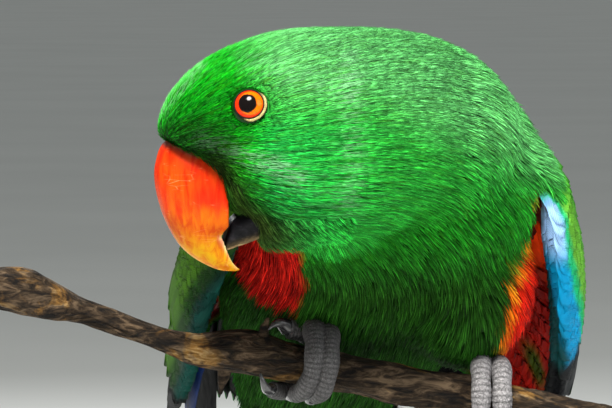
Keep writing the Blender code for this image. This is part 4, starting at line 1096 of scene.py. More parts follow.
def grow_vanes(name, surface, place, feathers, rows, columns, colour_at, material, mirrored=False, taper=0.72):
    """Closed curved vanes; feathers is a dict of arrays, one value for each feather."""
    get = {key: np.asarray(value, float)[:, None, None] for key, value in feathers.items()}
    count = len(feathers["root"])
    shape = (count, rows, columns)
    part = np.linspace(0.0, 1.0, rows)[None, :, None] + 0.0 * get["root"]
    side = np.linspace(-1.0, 1.0, columns)[None, None, :]
    round_off = np.sqrt(np.clip(1.0 - (np.clip(part - taper, 0.0, 1.0) / (1.0 - taper)) ** 2.2, 0.0, 1.0))
    fullness = (0.45 + 0.55 * np.sin(0.5 * np.pi * np.clip(part / 0.5, 0.0, 1.0))) * np.maximum(round_off, 0.10)
    ragged = 1.0 - 0.12 * random.random((count, rows, 2)) * (random.random((count, rows, 2)) > 0.55)
    ragged = np.where(side < 0, ragged[..., :1], ragged[..., 1:])
    length = get["tip"] - get["root"]
    back = get["root"] + length * part
    across = get["root_across"] + (get["tip_across"] - get["root_across"]) * part
    width = surface_frames(surface, back, across)[2]
    across_here = across + side * (get["half"] * fullness * ragged / width)
    tip_curve = length * 0.05 * (side ** 2) * part
    here, normal, _ = surface_frames(surface, back - tip_curve, across_here)
    lift = get["lift_root"] + (get["lift_tip"] - get["lift_root"]) * part
    camber = 0.10 * get["half"] * (1.0 - side ** 2)
    shaft = 0.22 * np.exp(-(side / 0.10) ** 2) * (1.0 - part)
    ripple = random.normal(0.0, 0.05, shape)
    top = here + normal * (lift + side * get["tilt"] * 0.5 + camber + shaft + ripple)[..., None]
    bottom = top - normal * (get["thick"] * (1.0 - 0.65 * side ** 4))[..., None]
    points = np.stack((place(top), place(bottom)), axis=1)
    pattern = vane_triangles(rows, columns)[:, ::-1 if mirrored else 1]
    triangles = (np.arange(count)[:, None, None] * 2 * rows * columns + pattern[None]).reshape(-1, 3)
    made = fast_mesh(name, points.reshape(-1, 3), triangles, material)
    back, across_here, part, side = (np.broadcast_to(value, shape) for value in (back, across_here, part, side))
    faces = [colour_at(back, across_here, part, side, under) for under in (False, True)]
    tone = random.normal(1.0, 0.10, (count, 1, 1, 1))
    paint(made, np.clip(np.stack([face * tone for face in faces], axis=1), 0.0, 1.0).reshape(-1, 3))
    patch = np.stack((0.05 + 0.9 * (get["root_across"] * 0.5 + 0.5) + side * PATCH_REACH,
                      0.05 + get["root"] / 300.0 + part * 2 * PATCH_REACH), axis=-1)
    vane = np.stack((side * get["half"] * 0.5, part * length), axis=-1)
    for label, values in (("vane", vane), ("OFBake", np.clip(patch, 0.0, 1.0))):
        set_map(made, label, np.stack((values, values), axis=1).reshape(-1, 2)[triangles.ravel()])
    return made


def row_of(count, root, tip, roots, tips, half, lift, tilt=2.0, thick=0.5, jitter=0.0):
    """A row of feathers side by side; a pair of sizes is for the first and last feather."""
    loose = random.normal(0.0, 1.0, (4, count)) * jitter
    values = {"root": root, "tip": tip, "root_across": roots, "tip_across": tips, "half": half,
              "lift_root": lift[0], "lift_tip": lift[1], "tilt": tilt, "thick": thick}
    step = np.linspace(0.0, 1.0, count)
    row = {key: np.interp(step, (0.0, 1.0), value if isinstance(value, tuple) else (value, value))
           for key, value in values.items()}
    for key, shift, share in zip(("root", "tip", "root_across", "tip_across"), loose, (1.0, 1.5, 0.004, 0.006)):
        row[key] = row[key] + shift * share
    return row


def join_rows(rows):
    """Rows of feathers as one."""
    return {key: np.concatenate([row[key] for row in rows]) for key in rows[0]}


def plain(colour, like):
    """One colour at every place."""
    return np.broadcast_to(colour, (*like.shape, 3))


# The right wing's colours are the left's darkened with painted shade, with a narrower blue band
EDGE_LOOKS = {
    "left": {"cyan": (0.004, 0.520, 0.180), "blue": (0.002, 0.300, 0.620), "bend": (0.38, 0.58, 1.00),
             "dark_from": 50.0, "yellow": 0.85, "narrow": 0.0},
    "right": {"cyan": (0.008, 0.036, 0.006), "blue": (0.004, 0.017, 0.013), "bend": (0.02, 0.14, 0.22),
              "dark_from": 96.0, "yellow": 0.12, "narrow": 0.11}}


def covert_colour(look, back, across, part, side, under):
    """Green coverts with a blue band on the leading edge, which turns lavender at the bend, pale yellow-green
    painted sheen, and dark teal painted shade on the lower edge; the right wing's colours are darkened with
    painted shade.
    """
    if under:
        # Undersides in painted shade, in the belly's darkened green
        return plain(GREEN_BELLY_SHADE, back)
    low = np.interp(back, (-6.0, 12.0, 24.0, 36.0, 50.0), (-0.30, -0.28, -0.12, -0.02, 0.03))
    high = np.interp(back, (-6.0, 0.0, 12.0, 28.0, 36.0, 50.0), (0.02, 0.02, 0.02, 0.06, 0.10, 0.14))
    high = high - look["narrow"]
    fore = step_between(-9.0, -5.0, back)
    # Painted shade: the right wing's leading coverts darkened to olive
    shaded = 0.98 * step_between(0.55, 0.38, across) * (look["narrow"] > 0.0)
    bend = step_between(-7.5, -5.0, back) * step_between(14.0, 4.0, back) * step_between(0.05, 0.0, across)
    dark = step_between(0.0, 5.0, back - look["dark_from"]) * step_between(0.34, 0.26, across)
    rim = step_between(0.34, 0.20, across) * step_between(-16.0, 2.0, back)
    colours = layered(
        plain(WING_GREEN, back), (WING_SHADE_OLIVE, shaded),
        # Painted sheen: pale yellow-green on the coverts and along the lower rim
        (WING_SHEEN_YELLOW, look["yellow"] * 0.45 * step_between(0.2, 0.7, part)),
        (WING_SHEEN_YELLOW, look["yellow"] * rim),
        (look["cyan"], 0.95 * fore * step_between(0.09, 0.04, across - high)),
        (look["blue"], 0.97 * fore * step_between(0.025, -0.02, across - high)),
        (look["bend"], 0.85 * bend),
        # Painted shade: dark teal on the lower inner edge
        (TEAL_SHADE, 0.95 * fore * step_between(0.01, -0.04, across - low)),
        (FLIGHT_BLACK, 0.995 * dark))
    return colours * (0.62 + 0.42 * step_between(0.0, 0.45, part))[..., None]


def rim_colour(look, back, across, part, side, under):
    """The covert colours carried round the wing's lower rim."""
    return covert_colour(look, back, np.interp(across, (0.0, 0.667, 1.0), (-0.30, 0.0, 0.10)), part, side, under)


def flight_colour(back, across, part, side, under):
    """Black long feathers, blue along the outer web."""
    outer = step_between(0.1, -0.5, side) * step_between(0.95, 0.6, part) * (not under)
    return layered(plain(FLIGHT_BLACK, back), (FLIGHT_BLUE, outer))


def secondary_colour(back, across, part, side, under):
    """Green secondaries with blue inner webs, and the lowest all blue; black below."""
    if under:
        return plain(FLIGHT_BLACK, back)
    return layered(plain(WING_GREEN * 0.8, back), (FLIGHT_BLUE, step_between(0.1, 0.8, side) * 0.7),
                   (FLIGHT_BLUE, step_between(0.40, 0.30, across)))


def tail_colour(back, across, part, side, under):
    """Green tail with blue towards the outer feathers and a dull yellow tip; dark below."""
    outer = 0.8 * step_between(0.35, 0.8, np.abs(across)) * step_between(0.3, 0.7, part) * (not under)
    return layered(plain(FLIGHT_BLACK * 1.6 if under else WING_GREEN * 0.75, back), (FLIGHT_BLUE, outer),
                   (YELLOW * 0.6, 0.75 * step_between(0.93, 0.985, part)))


def tail_covert_colour(back, across, part, side, under):
    """Green, dark towards the roots."""
    return plain(GREEN_BACK, back) * (0.6 + 0.6 * step_between(0.0, 0.6, part))[..., None]


def lining_colour(back, across, part, side, under):
    """Red feathers under the wing in painted shade, brighter orange-red towards its bend as painted light, green
    at one place, and dark towards their roots.
    """
    # Painted shade: the red darkened under the wing
    base = plain(0.3 * RED + 0.7 * SHADED_RED, back) * (1 - 0.5 * step_between(0.12, 0.04, across)[..., None])
    green = 0.9 * step_between(9.0, 4.0, np.hypot(back - 73.0, (across - 0.26) * 45.0))
    # Painted light: brighter orange-red towards the front
    base = layered(base, (0.85 * RED + 0.25 * ORANGE, step_between(34.0, 12.0, back)),
                   (GREEN_BREAST * 0.3, green))
    return base * (0.65 + 0.35 * step_between(0.0, 0.5, part))[..., None]


def make_wing(side, vane_look, down):
    """A folded wing: its arm and rows of feathers from the flight feathers up to the small coverts."""
    surface, inside, rim = (partial(face, side=side) for face in (wing_surface, arm_inside, arm_rim))
    place = partial(wing_point, side=side)
    coverts = partial(covert_colour, EDGE_LOOKS[side])
    node = "wing_" + side

    def lay(label, face, feathers, rows, columns, colour_at):
        finish_piece(grow_vanes(node + label, face, place, feathers, rows, columns, colour_at, vane_look,
                                side == "right"), "feathers", node)

    backs, across = np.meshgrid(np.linspace(-13.0, 100.0, 40), np.linspace(0.0, 1.0, ARM_COLUMNS), indexing="ij")
    here, normal, _ = surface_frames(surface, backs, across)
    outer = here - normal * (ARM_GAP - 1.0 * edge_share(across))[..., None]
    core = tube(node + "_arm", place(np.concatenate((outer, inside(backs, across)[:, ::-1]), axis=1)), down)
    half = np.arange(len(core.data.vertices)) % (2 * ARM_COLUMNS) < ARM_COLUMNS
    # The inner half, towards the body, is red in painted shade
    paint(core, np.where(half[:, None], WING_GREEN, SHADED_RED))
    finish_piece(core, "feathers", node)

    flight = row_of(10, 84, (246, 176), (0.10, 0.42), (0.22, 0.64), 7.2, (0.0, 0.0), 1.4, 0.6)
    flight["lift_root"] = flight["lift_tip"] = np.linspace(-7.6, -3.2, 10)
    lay("_primaries", surface, flight, 30, 9, flight_colour)
    secondaries = row_of(11, 74, (140, 155), (0.32, 0.90), (0.33, 0.90), 7.2, (-2.2, -1.0), 2.4, 0.5)
    lay("_secondaries", surface, secondaries, 22, 9, secondary_colour)
    lay("_coverts", surface, join_rows((
        row_of(7, 64, (124, 116), (0.07, 0.32), (0.10, 0.36), 5.6, (-3.0, -1.6), 1.8, 0.5),
        row_of(13, 54, 98, (0.07, 0.91), (0.09, 0.91), 6.0, (-1.8, 0.5), 2.0, 0.5, 0.4),
        row_of(14, 36, 72, (0.06, 0.90), (0.08, 0.90), 5.8, (-1.4, 0.9), 2.0, 0.5, 0.5))), 14, 7, coverts)
    small = []
    for index, start in enumerate(np.arange(46.0, -12.0, -3.8)):
        span = (0.02 * (index % 2), 0.96 + 0.02 * (index % 2))
        root_lift = -1.2 - 2.4 * float(step_between(-4.0, -14.0, start))
        small.append(row_of(27 if start > 5 else 17, start, start + 11.5, span, span, 2.9, (root_lift, 1.0), 0.5,
                            0.3, 0.9))
    rims = [row_of(4, start, start + 11.0, (0.14, 0.84), (0.14, 0.84), 2.7, (-0.5, 0.7), 0.4, 0.3, 0.7)
            for start in np.arange(92.0, -8.0, -3.6)]
    lay("_rim", rim, join_rows(rims), 8, 5, partial(rim_colour, EDGE_LOOKS[side]))
    lining = []
    for index, start in enumerate(np.arange(74.0, -4.0, -8.0)):
        shift = 0.03 * (index % 2)
        lining.append(row_of(12, start, start + 22.0, (0.12 + shift, 0.74 + shift), (0.12 + shift, 0.72 + shift),
                             6.2, (0.35, -0.45), 0.25, 0.2, 0.6))
    lay("_lining", inside, join_rows(lining), 9, 5, lining_colour)
    lay("_small_coverts", surface, join_rows(small), 8, 5, coverts)


def make_tail(vane_look, down):
    """Twelve tail feathers with their coverts above and below."""
    steps, lengths = np.linspace(0.0, 58.0, 20), (0, 8, 20, 34, 50, 60)
    widths = np.interp(steps, lengths, (16.0, 15.5, 14.5, 13.5, 12.5, 10.5)) - 1.0
    depths = np.interp(steps, lengths, (13.5, 12, 9, 5.5, 3.2, 2.0)) - 0.8
    turn = turns(36)
    rings = [tail_point(np.stack((along + 0 * turn, width * np.cos(turn), depth * np.sin(turn)), axis=-1))
             for along, width, depth in zip(steps, widths, depths)]
    core = tube("tail_root", rings, down)
    # The hidden core in the belly's green darkened with painted shade
    paint(core, np.tile(GREEN_BELLY_SHADE, (len(core.data.vertices), 1)))
    finish_piece(core, "feathers", "tail")
    pair, sign = np.repeat(np.arange(6), 2), np.tile((-1.0, 1.0), 6)
    sides, layers = sign * (0.08 + 0.82 * pair / 5.0), -1.0 * pair - 0.5 * (sign < 0)
    fan = {"root": np.full(12, 14.0), "tip": TAIL_LENGTH - 1.1 * pair, "root_across": sides * 0.7,
           "tip_across": sides, "half": np.full(12, 9.6), "lift_root": layers, "lift_tip": layers,
           "tilt": -1.2 * sign, "thick": np.full(12, 0.6)}
    made = grow_vanes("tail_feathers", tail_surface, tail_point, fan, 28, 11, tail_colour, vane_look, taper=0.86)
    finish_piece(made, "feathers", "tail")
    for name, surface in (("tail_upper_coverts", tail_surface), ("tail_under_coverts", tail_underside)):
        coverts = []
        for root in np.arange(44.0, -5.0, -8.0):
            rises = (np.interp(root, (-6.0, 50.0), (12.0, 1.6)),
                     np.interp(root + 28.0, (-6.0, 50.0, 80.0), (12.0, 3.0, 1.2)) + 0.8)
            coverts.append(row_of(7, root, root + 28.0, (-0.95, 0.95), (-0.80, 0.80), 4.6, rises, 0.3, 0.5, 0.8))
        made = grow_vanes(name, surface, tail_point, join_rows(coverts), 10, 7, tail_covert_colour, vane_look)
        finish_piece(made, "feathers", "tail")


# Bill, eyes and lids

def bill_half(name, stations, shape, inner):
    """A bill half from its stations and the shape of one side."""
    rows = smooth_table(stations, 48)
    outline = smooth_table(shape, 34)
    section = np.concatenate((outline, outline[-2::-1] * (1.0, -1.0), np.array(inner)))
    rise, across = section[:, 0][None], section[:, 1][None]
    along = rows[:, 2:3] + (rows[:, 0:1] - rows[:, 2:3]) * rise
    height = rows[:, 3:4] + (rows[:, 1:2] - rows[:, 3:4]) * rise
    return tube(name, head_point(along, height, rows[:, 4:5] * across))


def make_bill():
    """The orange upper bill with its yellow hook, and the dark lower bill."""
    upper = bill_half("upper_bill_horn", UPPER_BILL_STATIONS, UPPER_SHAPE,
                      ((0.12, -0.45), (0.17, 0.0), (0.12, 0.45)))
    turned = [(row[2], row[3], row[0], row[1], row[4]) for row in LOWER_BILL_STATIONS]
    lower = bill_half("lower_bill_horn", turned, LOWER_SHAPE, ((0.12, -0.4), (0.18, 0.0), (0.12, 0.4)))
    space = profile_block("upper_space", FACE_EDGE[:5] + BILL_BACK_EDGE, ((-32.0, 1.0), (32.0, 1.0)), (1.2, 0.9))
    combine(upper, space, "INTERSECT")
    for half in (upper, lower):
        soften(half, 0.42, 0.5, 3)
    points = Surface(upper).points
    along, height, out = head_place(points).T
    culmen = step_between(6.0, 2.0, np.abs(out)) * step_between(-25.0, -6.0, height)
    patch = step_between(1.0, 0.3, np.hypot((along + 12.5) / 6.5, (height + 19.5) / 5.0))
    root = near_line(along, height, (-22.0, -6.0), (-7.5, -21.0), 4.5)
    wave = 1.2 * np.sin(along * 1.1 + out * 0.7) + 0.8 * np.sin(along * 2.3)
    cut = np.maximum(near_line(along, height, (-8.6, -31.0), (-5.2, -36.5), 0.75),
                     near_line(along, height, (-5.2, -36.5), (-2.5, -40.0), 0.75))
    seam = near_line(along, height, (-23.4, -4.6), (-16.0, -8.2), 1.0)
    paint(upper, layered(
        np.tile((0.52, 0.040, 0.002), (len(points), 1)),
        ((0.44, 0.018, 0.001), 0.65 * culmen),
        ((0.45, 0.011, 0.003), 0.9 * patch),
        ((0.44, 0.016, 0.002), 0.7 * root),
        ((0.44, 0.080, 0.0005), step_between(-21.0, -27.0, height + wave)),
        ((0.52, 0.215, 0.001), 0.95 * step_between(-28.0, -36.0, height)),
        ((0.80, 0.62, 0.32), 0.95 * cut * (np.abs(out) > 0.8)),
        ((0.12, 0.05, 0.03), 0.8 * seam)))
    set_material(upper, upper_bill_material())
    finish_piece(upper, "bill_orange", "upper_bill")
    points = Surface(lower).points
    along, height, _ = head_place(points).T
    rim = near_line(along, height, (-7.2, -34.6), (1.5, -31.6), 1.2)
    paint(lower, layered(np.tile((0.0050, 0.0050, 0.0060), (len(points), 1)), ((0.26, 0.19, 0.09), 0.9 * rim)))
    set_material(lower, grained_material("dark_horn"))
    finish_piece(lower, "bill_dark", "lower_bill")


def eye_frame(side):
    """An eye's centre and its axes: outwards, backwards along the head, and up."""
    surface = head_point(EYE_PLACE[0], EYE_PLACE[1], side * EYE_PLACE[2])
    left = unit(head_point(EYE_FACING[0], EYE_FACING[1], side * EYE_FACING[2]) - HEAD_CENTRE)
    ahead = unit(np.cross(np.array((0.0, 0.0, 1.0)), left))
    return surface - left * EYE_DEPTH, left, ahead, np.cross(left, ahead)


def angle_from(vectors, axis):
    """Degrees between vectors and an axis."""
    return np.degrees(np.arccos(np.clip(unit(vectors) @ axis, -1.0, 1.0)))


def make_eye(side, name, look):
    """A glossy ball with pupil and a ringed iris."""
    centre, left, ahead, above = eye_frame(side)
    fall = np.pi * (np.arange(1, EYE_RINGS) / EYE_RINGS) ** 1.35
    turn = turns(EYE_RINGS)
    reach = EYE_RADIUS * (1.0 + EYE_BULGE * step_between(math.radians(44), math.radians(20), fall))
    flat = np.multiply.outer(np.cos(turn), ahead) + np.multiply.outer(np.sin(turn), above)
    points = (centre + left * (reach * np.cos(fall))[:, None, None]
              + flat[None] * (reach * np.sin(fall))[:, None, None])
    ball = tube(name + "_ball", points, look)
    for pole, out in ((-2, 1.0 + EYE_BULGE), (-1, -1.0)):
        ball.data.vertices[pole].co = to_frame(centre + left * EYE_RADIUS * out)
    places = Surface(ball).points - centre
    angle = angle_from(places, left)
    around = np.arctan2(places @ above, places @ ahead)
    forward = -side * places @ ahead / EYE_RADIUS
    pupil = angle_from(places + 0.55 * side * ahead, left) * (1.0 + 0.02 * np.sin(around * 5.0))
    edge = angle + 9.0 * forward - 3.0 * places @ above / EYE_RADIUS
    paint(ball, layered(
        np.tile((0.004, 0.003, 0.003), (len(places), 1)),
        ((0.58, 0.118, 0.001), step_between(23.2, 24.8, pupil)),
        ((0.66, 0.026, 0.003), step_between(29.0, 33.0, edge)),
        ((0.004, 0.002, 0.002), step_between(37.5, 40.0, angle)),
        # Painted shade: the ball's outer part dark green, as skin in shadow
        (GREEN_FACE * 0.12, step_between(43.0, 46.0, angle))))
    loops = np.empty(len(ball.data.loops), np.int32)
    ball.data.loops.foreach_get("vertex_index", loops)
    set_map(ball, "iris", np.stack((around / math.tau + 0.5, angle / 90.0), axis=1)[loops])
    finish_piece(ball, "eye", name)


def make_lids(side, label, look):
    """A dark inner rim, a cream lower and hind lid, and a dark crease outside it, as soft rings."""
    centre, left, ahead, above = eye_frame(side)
    turn, bend = turns(LID_STEPS), turns(LID_SIDES)
    radial = np.multiply.outer(np.cos(turn), ahead) + np.multiply.outer(np.sin(turn), above)
    # Turn 0 is towards the back of the head, and 90 degrees is up
    hind = step_between(0.0, 0.65, np.cos(np.where(side > 0, turn, np.pi - turn) + math.radians(30)))
    base = math.sqrt((EYE_RADIUS + 0.3) ** 2 - 4.7 ** 2)
    step, part = (grid.ravel() for grid in np.meshgrid(np.arange(LID_STEPS), np.arange(LID_SIDES), indexing="ij"))
    after, beside = (step + 1) % LID_STEPS * LID_SIDES, (part + 1) % LID_SIDES
    step = step * LID_SIDES
    faces = np.stack((step + part, step + beside, after + beside, after + part), axis=1).tolist()
    for name, size, thick, rise, shade, cream in LIDS:
        size, thick, rise = (low + more * hind for low, more in (size, thick, rise))
        points = (centre + radial[:, None] * (size[:, None] + thick[:, None] * np.cos(bend))[..., None]
                  + left * (base + rise[:, None] + thick[:, None] * np.sin(bend))[..., None])
        made = face_outwards(mesh_piece(name + label, points.reshape(-1, 3), faces, look))
        colours = layered(np.tile(LID_DARK * shade, (LID_STEPS, 1)), (LID_CREAM, cream * hind))
        paint(made, np.repeat(colours, LID_SIDES, axis=0))
        finish_piece(made, "scales", "head")


# Branch, feet and stand

def perch_at(x):
    """The branch's middle line and radius at places along X."""
    rows = smooth_rows(PERCH_STATIONS, x, 1)
    return np.column_stack((np.atleast_1d(x), rows[:, 0], rows[:, 1])), rows[:, 2]


def wave_noise(first, second, seed, scale, octaves=4):
    """Soft repeatable ridges on a turn (in radians) and a length."""
    maker = np.random.default_rng(seed)
    total = np.zeros(np.broadcast(first, second).shape)
    size = 1.0
    for octave in range(octaves):
        for _ in range(5):
            around = maker.integers(1, 4 + 3 * octave)
            length = scale * 2 ** octave * maker.uniform(0.5, 1.4)
            total = total + size * np.sin(first * around + second * length + maker.uniform(0, math.tau))
        size *= 0.6
    return total / 5.0


def make_perch(bark):
    """The cut branch: bark ridges, knots, a spur and a splintered end."""
    xs = np.linspace(PERCH_STATIONS[0][0], PERCH_STATIONS[-1][0], 420)
    centres, radii = perch_at(xs)
    grid_x, turn = np.meshgrid(xs, turns(72), indexing="ij")
    form = 0.05 * np.sin(3 * turn + grid_x * 0.19) + 0.04 * np.sin(2 * turn - grid_x * 0.31)
    ridges = wave_noise(turn * 4.0, grid_x, 5, 0.10)
    fine = wave_noise(turn * 9.0, grid_x, 8, 0.35, 3)
    lumps = wave_noise(turn * 2.0, grid_x, 21, 0.22, 3)
    size = radii[:, None] * (1.0 + form) + 0.30 * ridges + 0.22 * fine + 0.32 * lumps
    end = np.exp(-(grid_x - xs[0]) / 5.0)
    splinter = 5.5 * end * wave_noise(turn * 3.0, 0 * grid_x, 12, 1.0, 2)
    splinter = np.clip(splinter, -4.0, 4.0) + 0.25 * radii[:, None] * np.sin(turn) * end
    points = centres[:, None] + np.stack((splinter, -np.cos(turn) * size, np.sin(turn) * size), axis=-1)
    pieces = [tube("branch", points, bark)]
    steps = np.linspace(0.0, 1.0, 16)
    for x, angle, length, lean, width in ((-22.0, 262, 6.5, -2.0, 2.4), (-14.0, 78, 5.0, 3.0, 2.4)):
        middle, radius = perch_at(x)
        angle = math.radians(angle)
        way = unit(np.array((lean * 0.1, -math.cos(angle), math.sin(angle))))
        path = middle + way * (radius * 0.4 + steps[:, None] * (radius * 0.6 + length))
        size = width * np.interp(steps, (0, 0.33, 0.66, 1.0), (1.25, 0.85, 0.55, 0.2))
        rings = path_rings(path, size, size, 24, up=(1.0, 0.0, 0.0))
        pieces.append(tube("spur", rings + 0.12 * np.sin(rings * 3.1), bark))
    for piece in pieces:
        points = Surface(piece).points
        shade = 0.85 + 0.15 * np.sin(points[:, 0] * 0.35 + np.sin(points[:, 2] * 0.9))
        pale = step_between(-87.0, -91.0, points[:, 0])
        paint(piece, layered(np.outer(shade, (1.0, 1.0, 1.0)), ((2.2, 1.9, 1.5), pale)))
    finish_piece(join_pieces(pieces), "bark", "perch")


# For each toe: rows of along the branch, turn round it, height over it and radius
RIGHT_TOES = {
    "front_inner": ((1.5, 118, 4.9, 3.7), (2.6, 92, 5.2, 3.6), (3.0, 50, 4.6, 3.4), (2.7, 5, 3.8, 3.2),
                    (1.0, -35, 3.5, 3.1), (-1.3, -62, 3.2, 2.7)),
    "front_outer": ((-1.0, 118, 4.9, 3.7), (-1.2, 92, 5.4, 3.8), (-0.8, 50, 4.8, 3.5), (-1.1, 5, 3.9, 3.3),
                    (-3.6, -40, 3.5, 3.1), (-6.8, -74, 3.3, 2.7)),
    "hind_outer": ((-1.5, 125, 4.4, 3.5), (-5.5, 108, 4.2, 3.3), (-8.6, 98, 3.7, 2.9)),
    "hind_inner": ((0.5, 140, 4.4, 3.4), (-2.0, 180, 3.6, 3.1), (-6.0, 225, 3.4, 3.0),
                   (-11.0, 262, 3.3, 2.8), (-13.5, 284, 3.2, 2.4))}
LEFT_TOES = {
    "front_inner": ((-1.5, 118, 4.6, 3.5), (-2.6, 92, 4.6, 3.3), (-2.9, 50, 3.8, 3.1), (-2.9, 5, 3.4, 3.0),
                    (-3.0, -38, 3.3, 2.9), (-2.0, -70, 3.1, 2.5)),
    "front_outer": ((1.5, 118, 4.6, 3.5), (2.7, 92, 4.7, 3.3), (3.0, 50, 3.9, 3.1), (3.0, 5, 3.5, 3.0),
                    (3.4, -42, 3.4, 2.9), (3.0, -80, 3.2, 2.5)),
    "hind_outer": ((1.5, 140, 4.4, 3.4), (5.0, 180, 3.6, 3.1), (6.5, 225, 3.4, 2.9), (7.0, 255, 3.2, 2.5)),
    "hind_inner": ((-1.5, 140, 4.4, 3.4), (-4.5, 180, 3.6, 3.0), (-6.0, 222, 3.3, 2.5))}
# For each foot: its place along the branch, toes, how far the ankle leans out, scute length and a painted shade
# that darkens the right foot as if in shadow
FEET = {"right": (3.5, RIGHT_TOES, -1.0, 1.15, 0.30), "left": (52.5, LEFT_TOES, 1.0, 1.45, 0.95)}


def grip_points(foot_x, along, turn, height):
    """Places round the branch."""
    middle, radius = perch_at(foot_x + np.atleast_1d(along))
    angle = np.radians(np.atleast_1d(turn))
    reach = (radius + np.atleast_1d(height))[:, None]
    return middle + np.column_stack((0 * angle, -np.cos(angle), np.sin(angle))) * reach


def make_foot(side, scales, horn):
    """A foot with ringed toes, and its claws."""
    foot_x, toes, outward, scute_length, shadow_dim = FEET[side]
    palm = grip_points(foot_x, 0.0, 124, 5.0)[0]
    shank = palm + np.array((outward, 9.5, 7.5)) * np.linspace(-0.25, 1.0, 24)[:, None]
    size = np.interp(np.linspace(0, 1, 24), (0, 0.4, 0.7, 1.0), (4.4, 4.0, 3.4, 3.6))
    rings = path_rings(shank, size, size * 0.92, TOE_COUNT, up=(1.0, 0.0, 0.0))
    pieces = [tube("foot_%s_skin" % side, rings, scales)]
    shades = [np.ones(24 * TOE_COUNT + 2)]
    for toe, rows in toes.items():
        samples = smooth_table(rows, 150)
        centres = grip_points(foot_x, *samples[:, :3].T)
        length = np.concatenate(((0.0,), np.cumsum(np.linalg.norm(np.diff(centres, axis=0), axis=1))))
        scute = np.abs(np.sin(np.pi * length / scute_length)) ** 0.5
        size = samples[:, 3] * (0.95 + 0.045 * scute + 0.05 * np.cos(math.tau * length / 9.0))
        size[-4:] *= (0.97, 0.9, 0.78, 0.55)
        pieces.append(tube("toe", path_rings(centres, size, size * 0.94, TOE_COUNT, TOE_UP), scales))
        # Painted shade, darker in the furrows between scutes
        groove = np.concatenate((np.repeat(scute, TOE_COUNT), scute[[0, -1]]))
        shades.append(0.30 + 0.70 * groove ** 1.5)
        make_claw("claw_%s_%s" % (side, toe), foot_x, rows, horn)
    for piece, shade in zip(pieces, shades):
        # Painted shade: the right foot darker than the left
        paint(piece, np.outer(shade * shadow_dim, (1.0, 0.98, 0.98)))
    finish_piece(join_pieces(pieces), "scales", "foot_" + side)


def make_claw(name, foot_x, rows, horn):
    """A smooth curved claw that carries on from its toe."""
    before, last = smooth_rows(rows, np.array((len(rows) - 1.5, len(rows) - 1.0)))
    step = last - before
    step = step / max(1e-6, abs(step[1]) + abs(step[0]) * 4.0)
    run = np.linspace(-0.06, 1.0, 40)
    centres = grip_points(foot_x, last[0] + step[0] * run * 40.0, last[1] + step[1] * run * 58.0,
                          last[2] + 1.6 * np.sin(np.pi * np.maximum(run, 0)) - 1.6 * run)
    slim = 1.0 - 0.95 * np.clip(run, 0.0, 1.0) ** 1.3
    rings = path_rings(centres, last[3] * 0.74 * slim, last[3] * 0.86 * slim, 24, TOE_UP)
    finish_piece(tube(name + "_horn", rings, horn), "claw", name)


def make_stand():
    """A round plate with a rolled edge, and two rods with feet."""
    edge = np.linspace(0.0, 0.5 * np.pi, 8)
    profile = [(79.0, 0.0), (79.7, 0.3), (80.0, 1.0)]
    profile += [(77.5 + 2.5 * math.cos(angle), 9.5 + 2.5 * math.sin(angle)) for angle in edge]
    profile += [(70.0, 12.0), (40.0, 12.0), (10.0, 12.0)]
    base = tube("stand_plate", upright_rings(-PERCH_TO_BASE, profile, 160), grained_material("stand_paint"))
    base.data.set_sharp_from_angle(angle=math.radians(40))
    finish_piece(base, "stand_black", "stand_base")
    steel = steel_material()
    floor = -PERCH_HEIGHT + 12.3
    for name, x in (("stand_rod_inner", 29.0), ("stand_rod_outer", 69.0)):
        (middle,), (radius,) = perch_at(x)
        profile = ((6.0, 0.0), (6.0, 2.4), (5.8, 2.9), (5.4, 3.2), (3.2, 3.3), (3.0, 3.6),
                   (3.0, middle[2] - radius * 0.6 - floor))
        rod = tube(name + "_bar", upright_rings((x, middle[1], floor), profile, 56), steel)
        rod.data.set_sharp_from_angle(angle=math.radians(35))
        finish_piece(rod, "rod_steel", name)


# The coat

def clear_of_eyes(places, reach):
    """Places far enough from both eyes."""
    keep = np.ones(len(places), bool)
    for side in (1.0, -1.0):
        centre, left, _, _ = eye_frame(side)
        keep &= np.linalg.norm(places - (centre + left * EYE_DEPTH), axis=1) > reach
    return keep


def under_wings(places, normals):
    """Places that a wing covers."""
    hidden = np.zeros(len(places), bool)
    rows, columns = 18, 14
    backs, across = np.meshgrid(np.linspace(2.0, 104.0, rows), np.linspace(0.28, 0.90, columns), indexing="ij")
    faces = grid_quads(rows, columns)[0].tolist()
    for side in ("left", "right"):
        points = wing_point(wing_surface(backs, across, side), side).reshape(-1, 3)
        cover = BVHTree.FromPolygons(points.tolist(), faces)
        for index in np.flatnonzero(~hidden):
            hidden[index] = cover.ray_cast(Vector(places[index]), Vector(normals[index]), 12.0)[0] is not None
    return hidden


def shoulder_form(side):
    """The front of a folded wing, which the body's small feathers run over."""
    backs, across = np.meshgrid(np.linspace(-13.5, 12.0, 16), np.linspace(0.05, 1.0, 24), indexing="ij")
    here, normal, _ = surface_frames(partial(wing_surface, side=side), backs, across)
    outer = here + normal * np.interp(backs, (-13.5, -7.0, -2.0, 12.0), (0.0, 1.0, 0.8, -3.0))[..., None]
    inner = arm_inside(backs, across, side) - normal * 2.0
    return tube("shoulder_form", wing_point(np.concatenate((outer, inner[:, ::-1]), axis=1), side))


def coat_surface(body):
    """The face that the body's feathers are set on: the body with the fronts of its wings."""
    form = bpy.data.objects.new("coat_form", body.data.copy())
    bpy.context.scene.collection.objects.link(form)
    for side in ("left", "right"):
        combine(form, shoulder_form(side), "UNION")
    soften(form, SKIN_VOXEL, 0.6, 12)
    surface = Surface(form)
    bpy.data.objects.remove(form, do_unlink=True)
    return surface


def coat_depth(share):
    """How far the skin lies under the coat's outer face."""
    return 0.9 + 1.3 * step_between(0.40, 0.7, share)


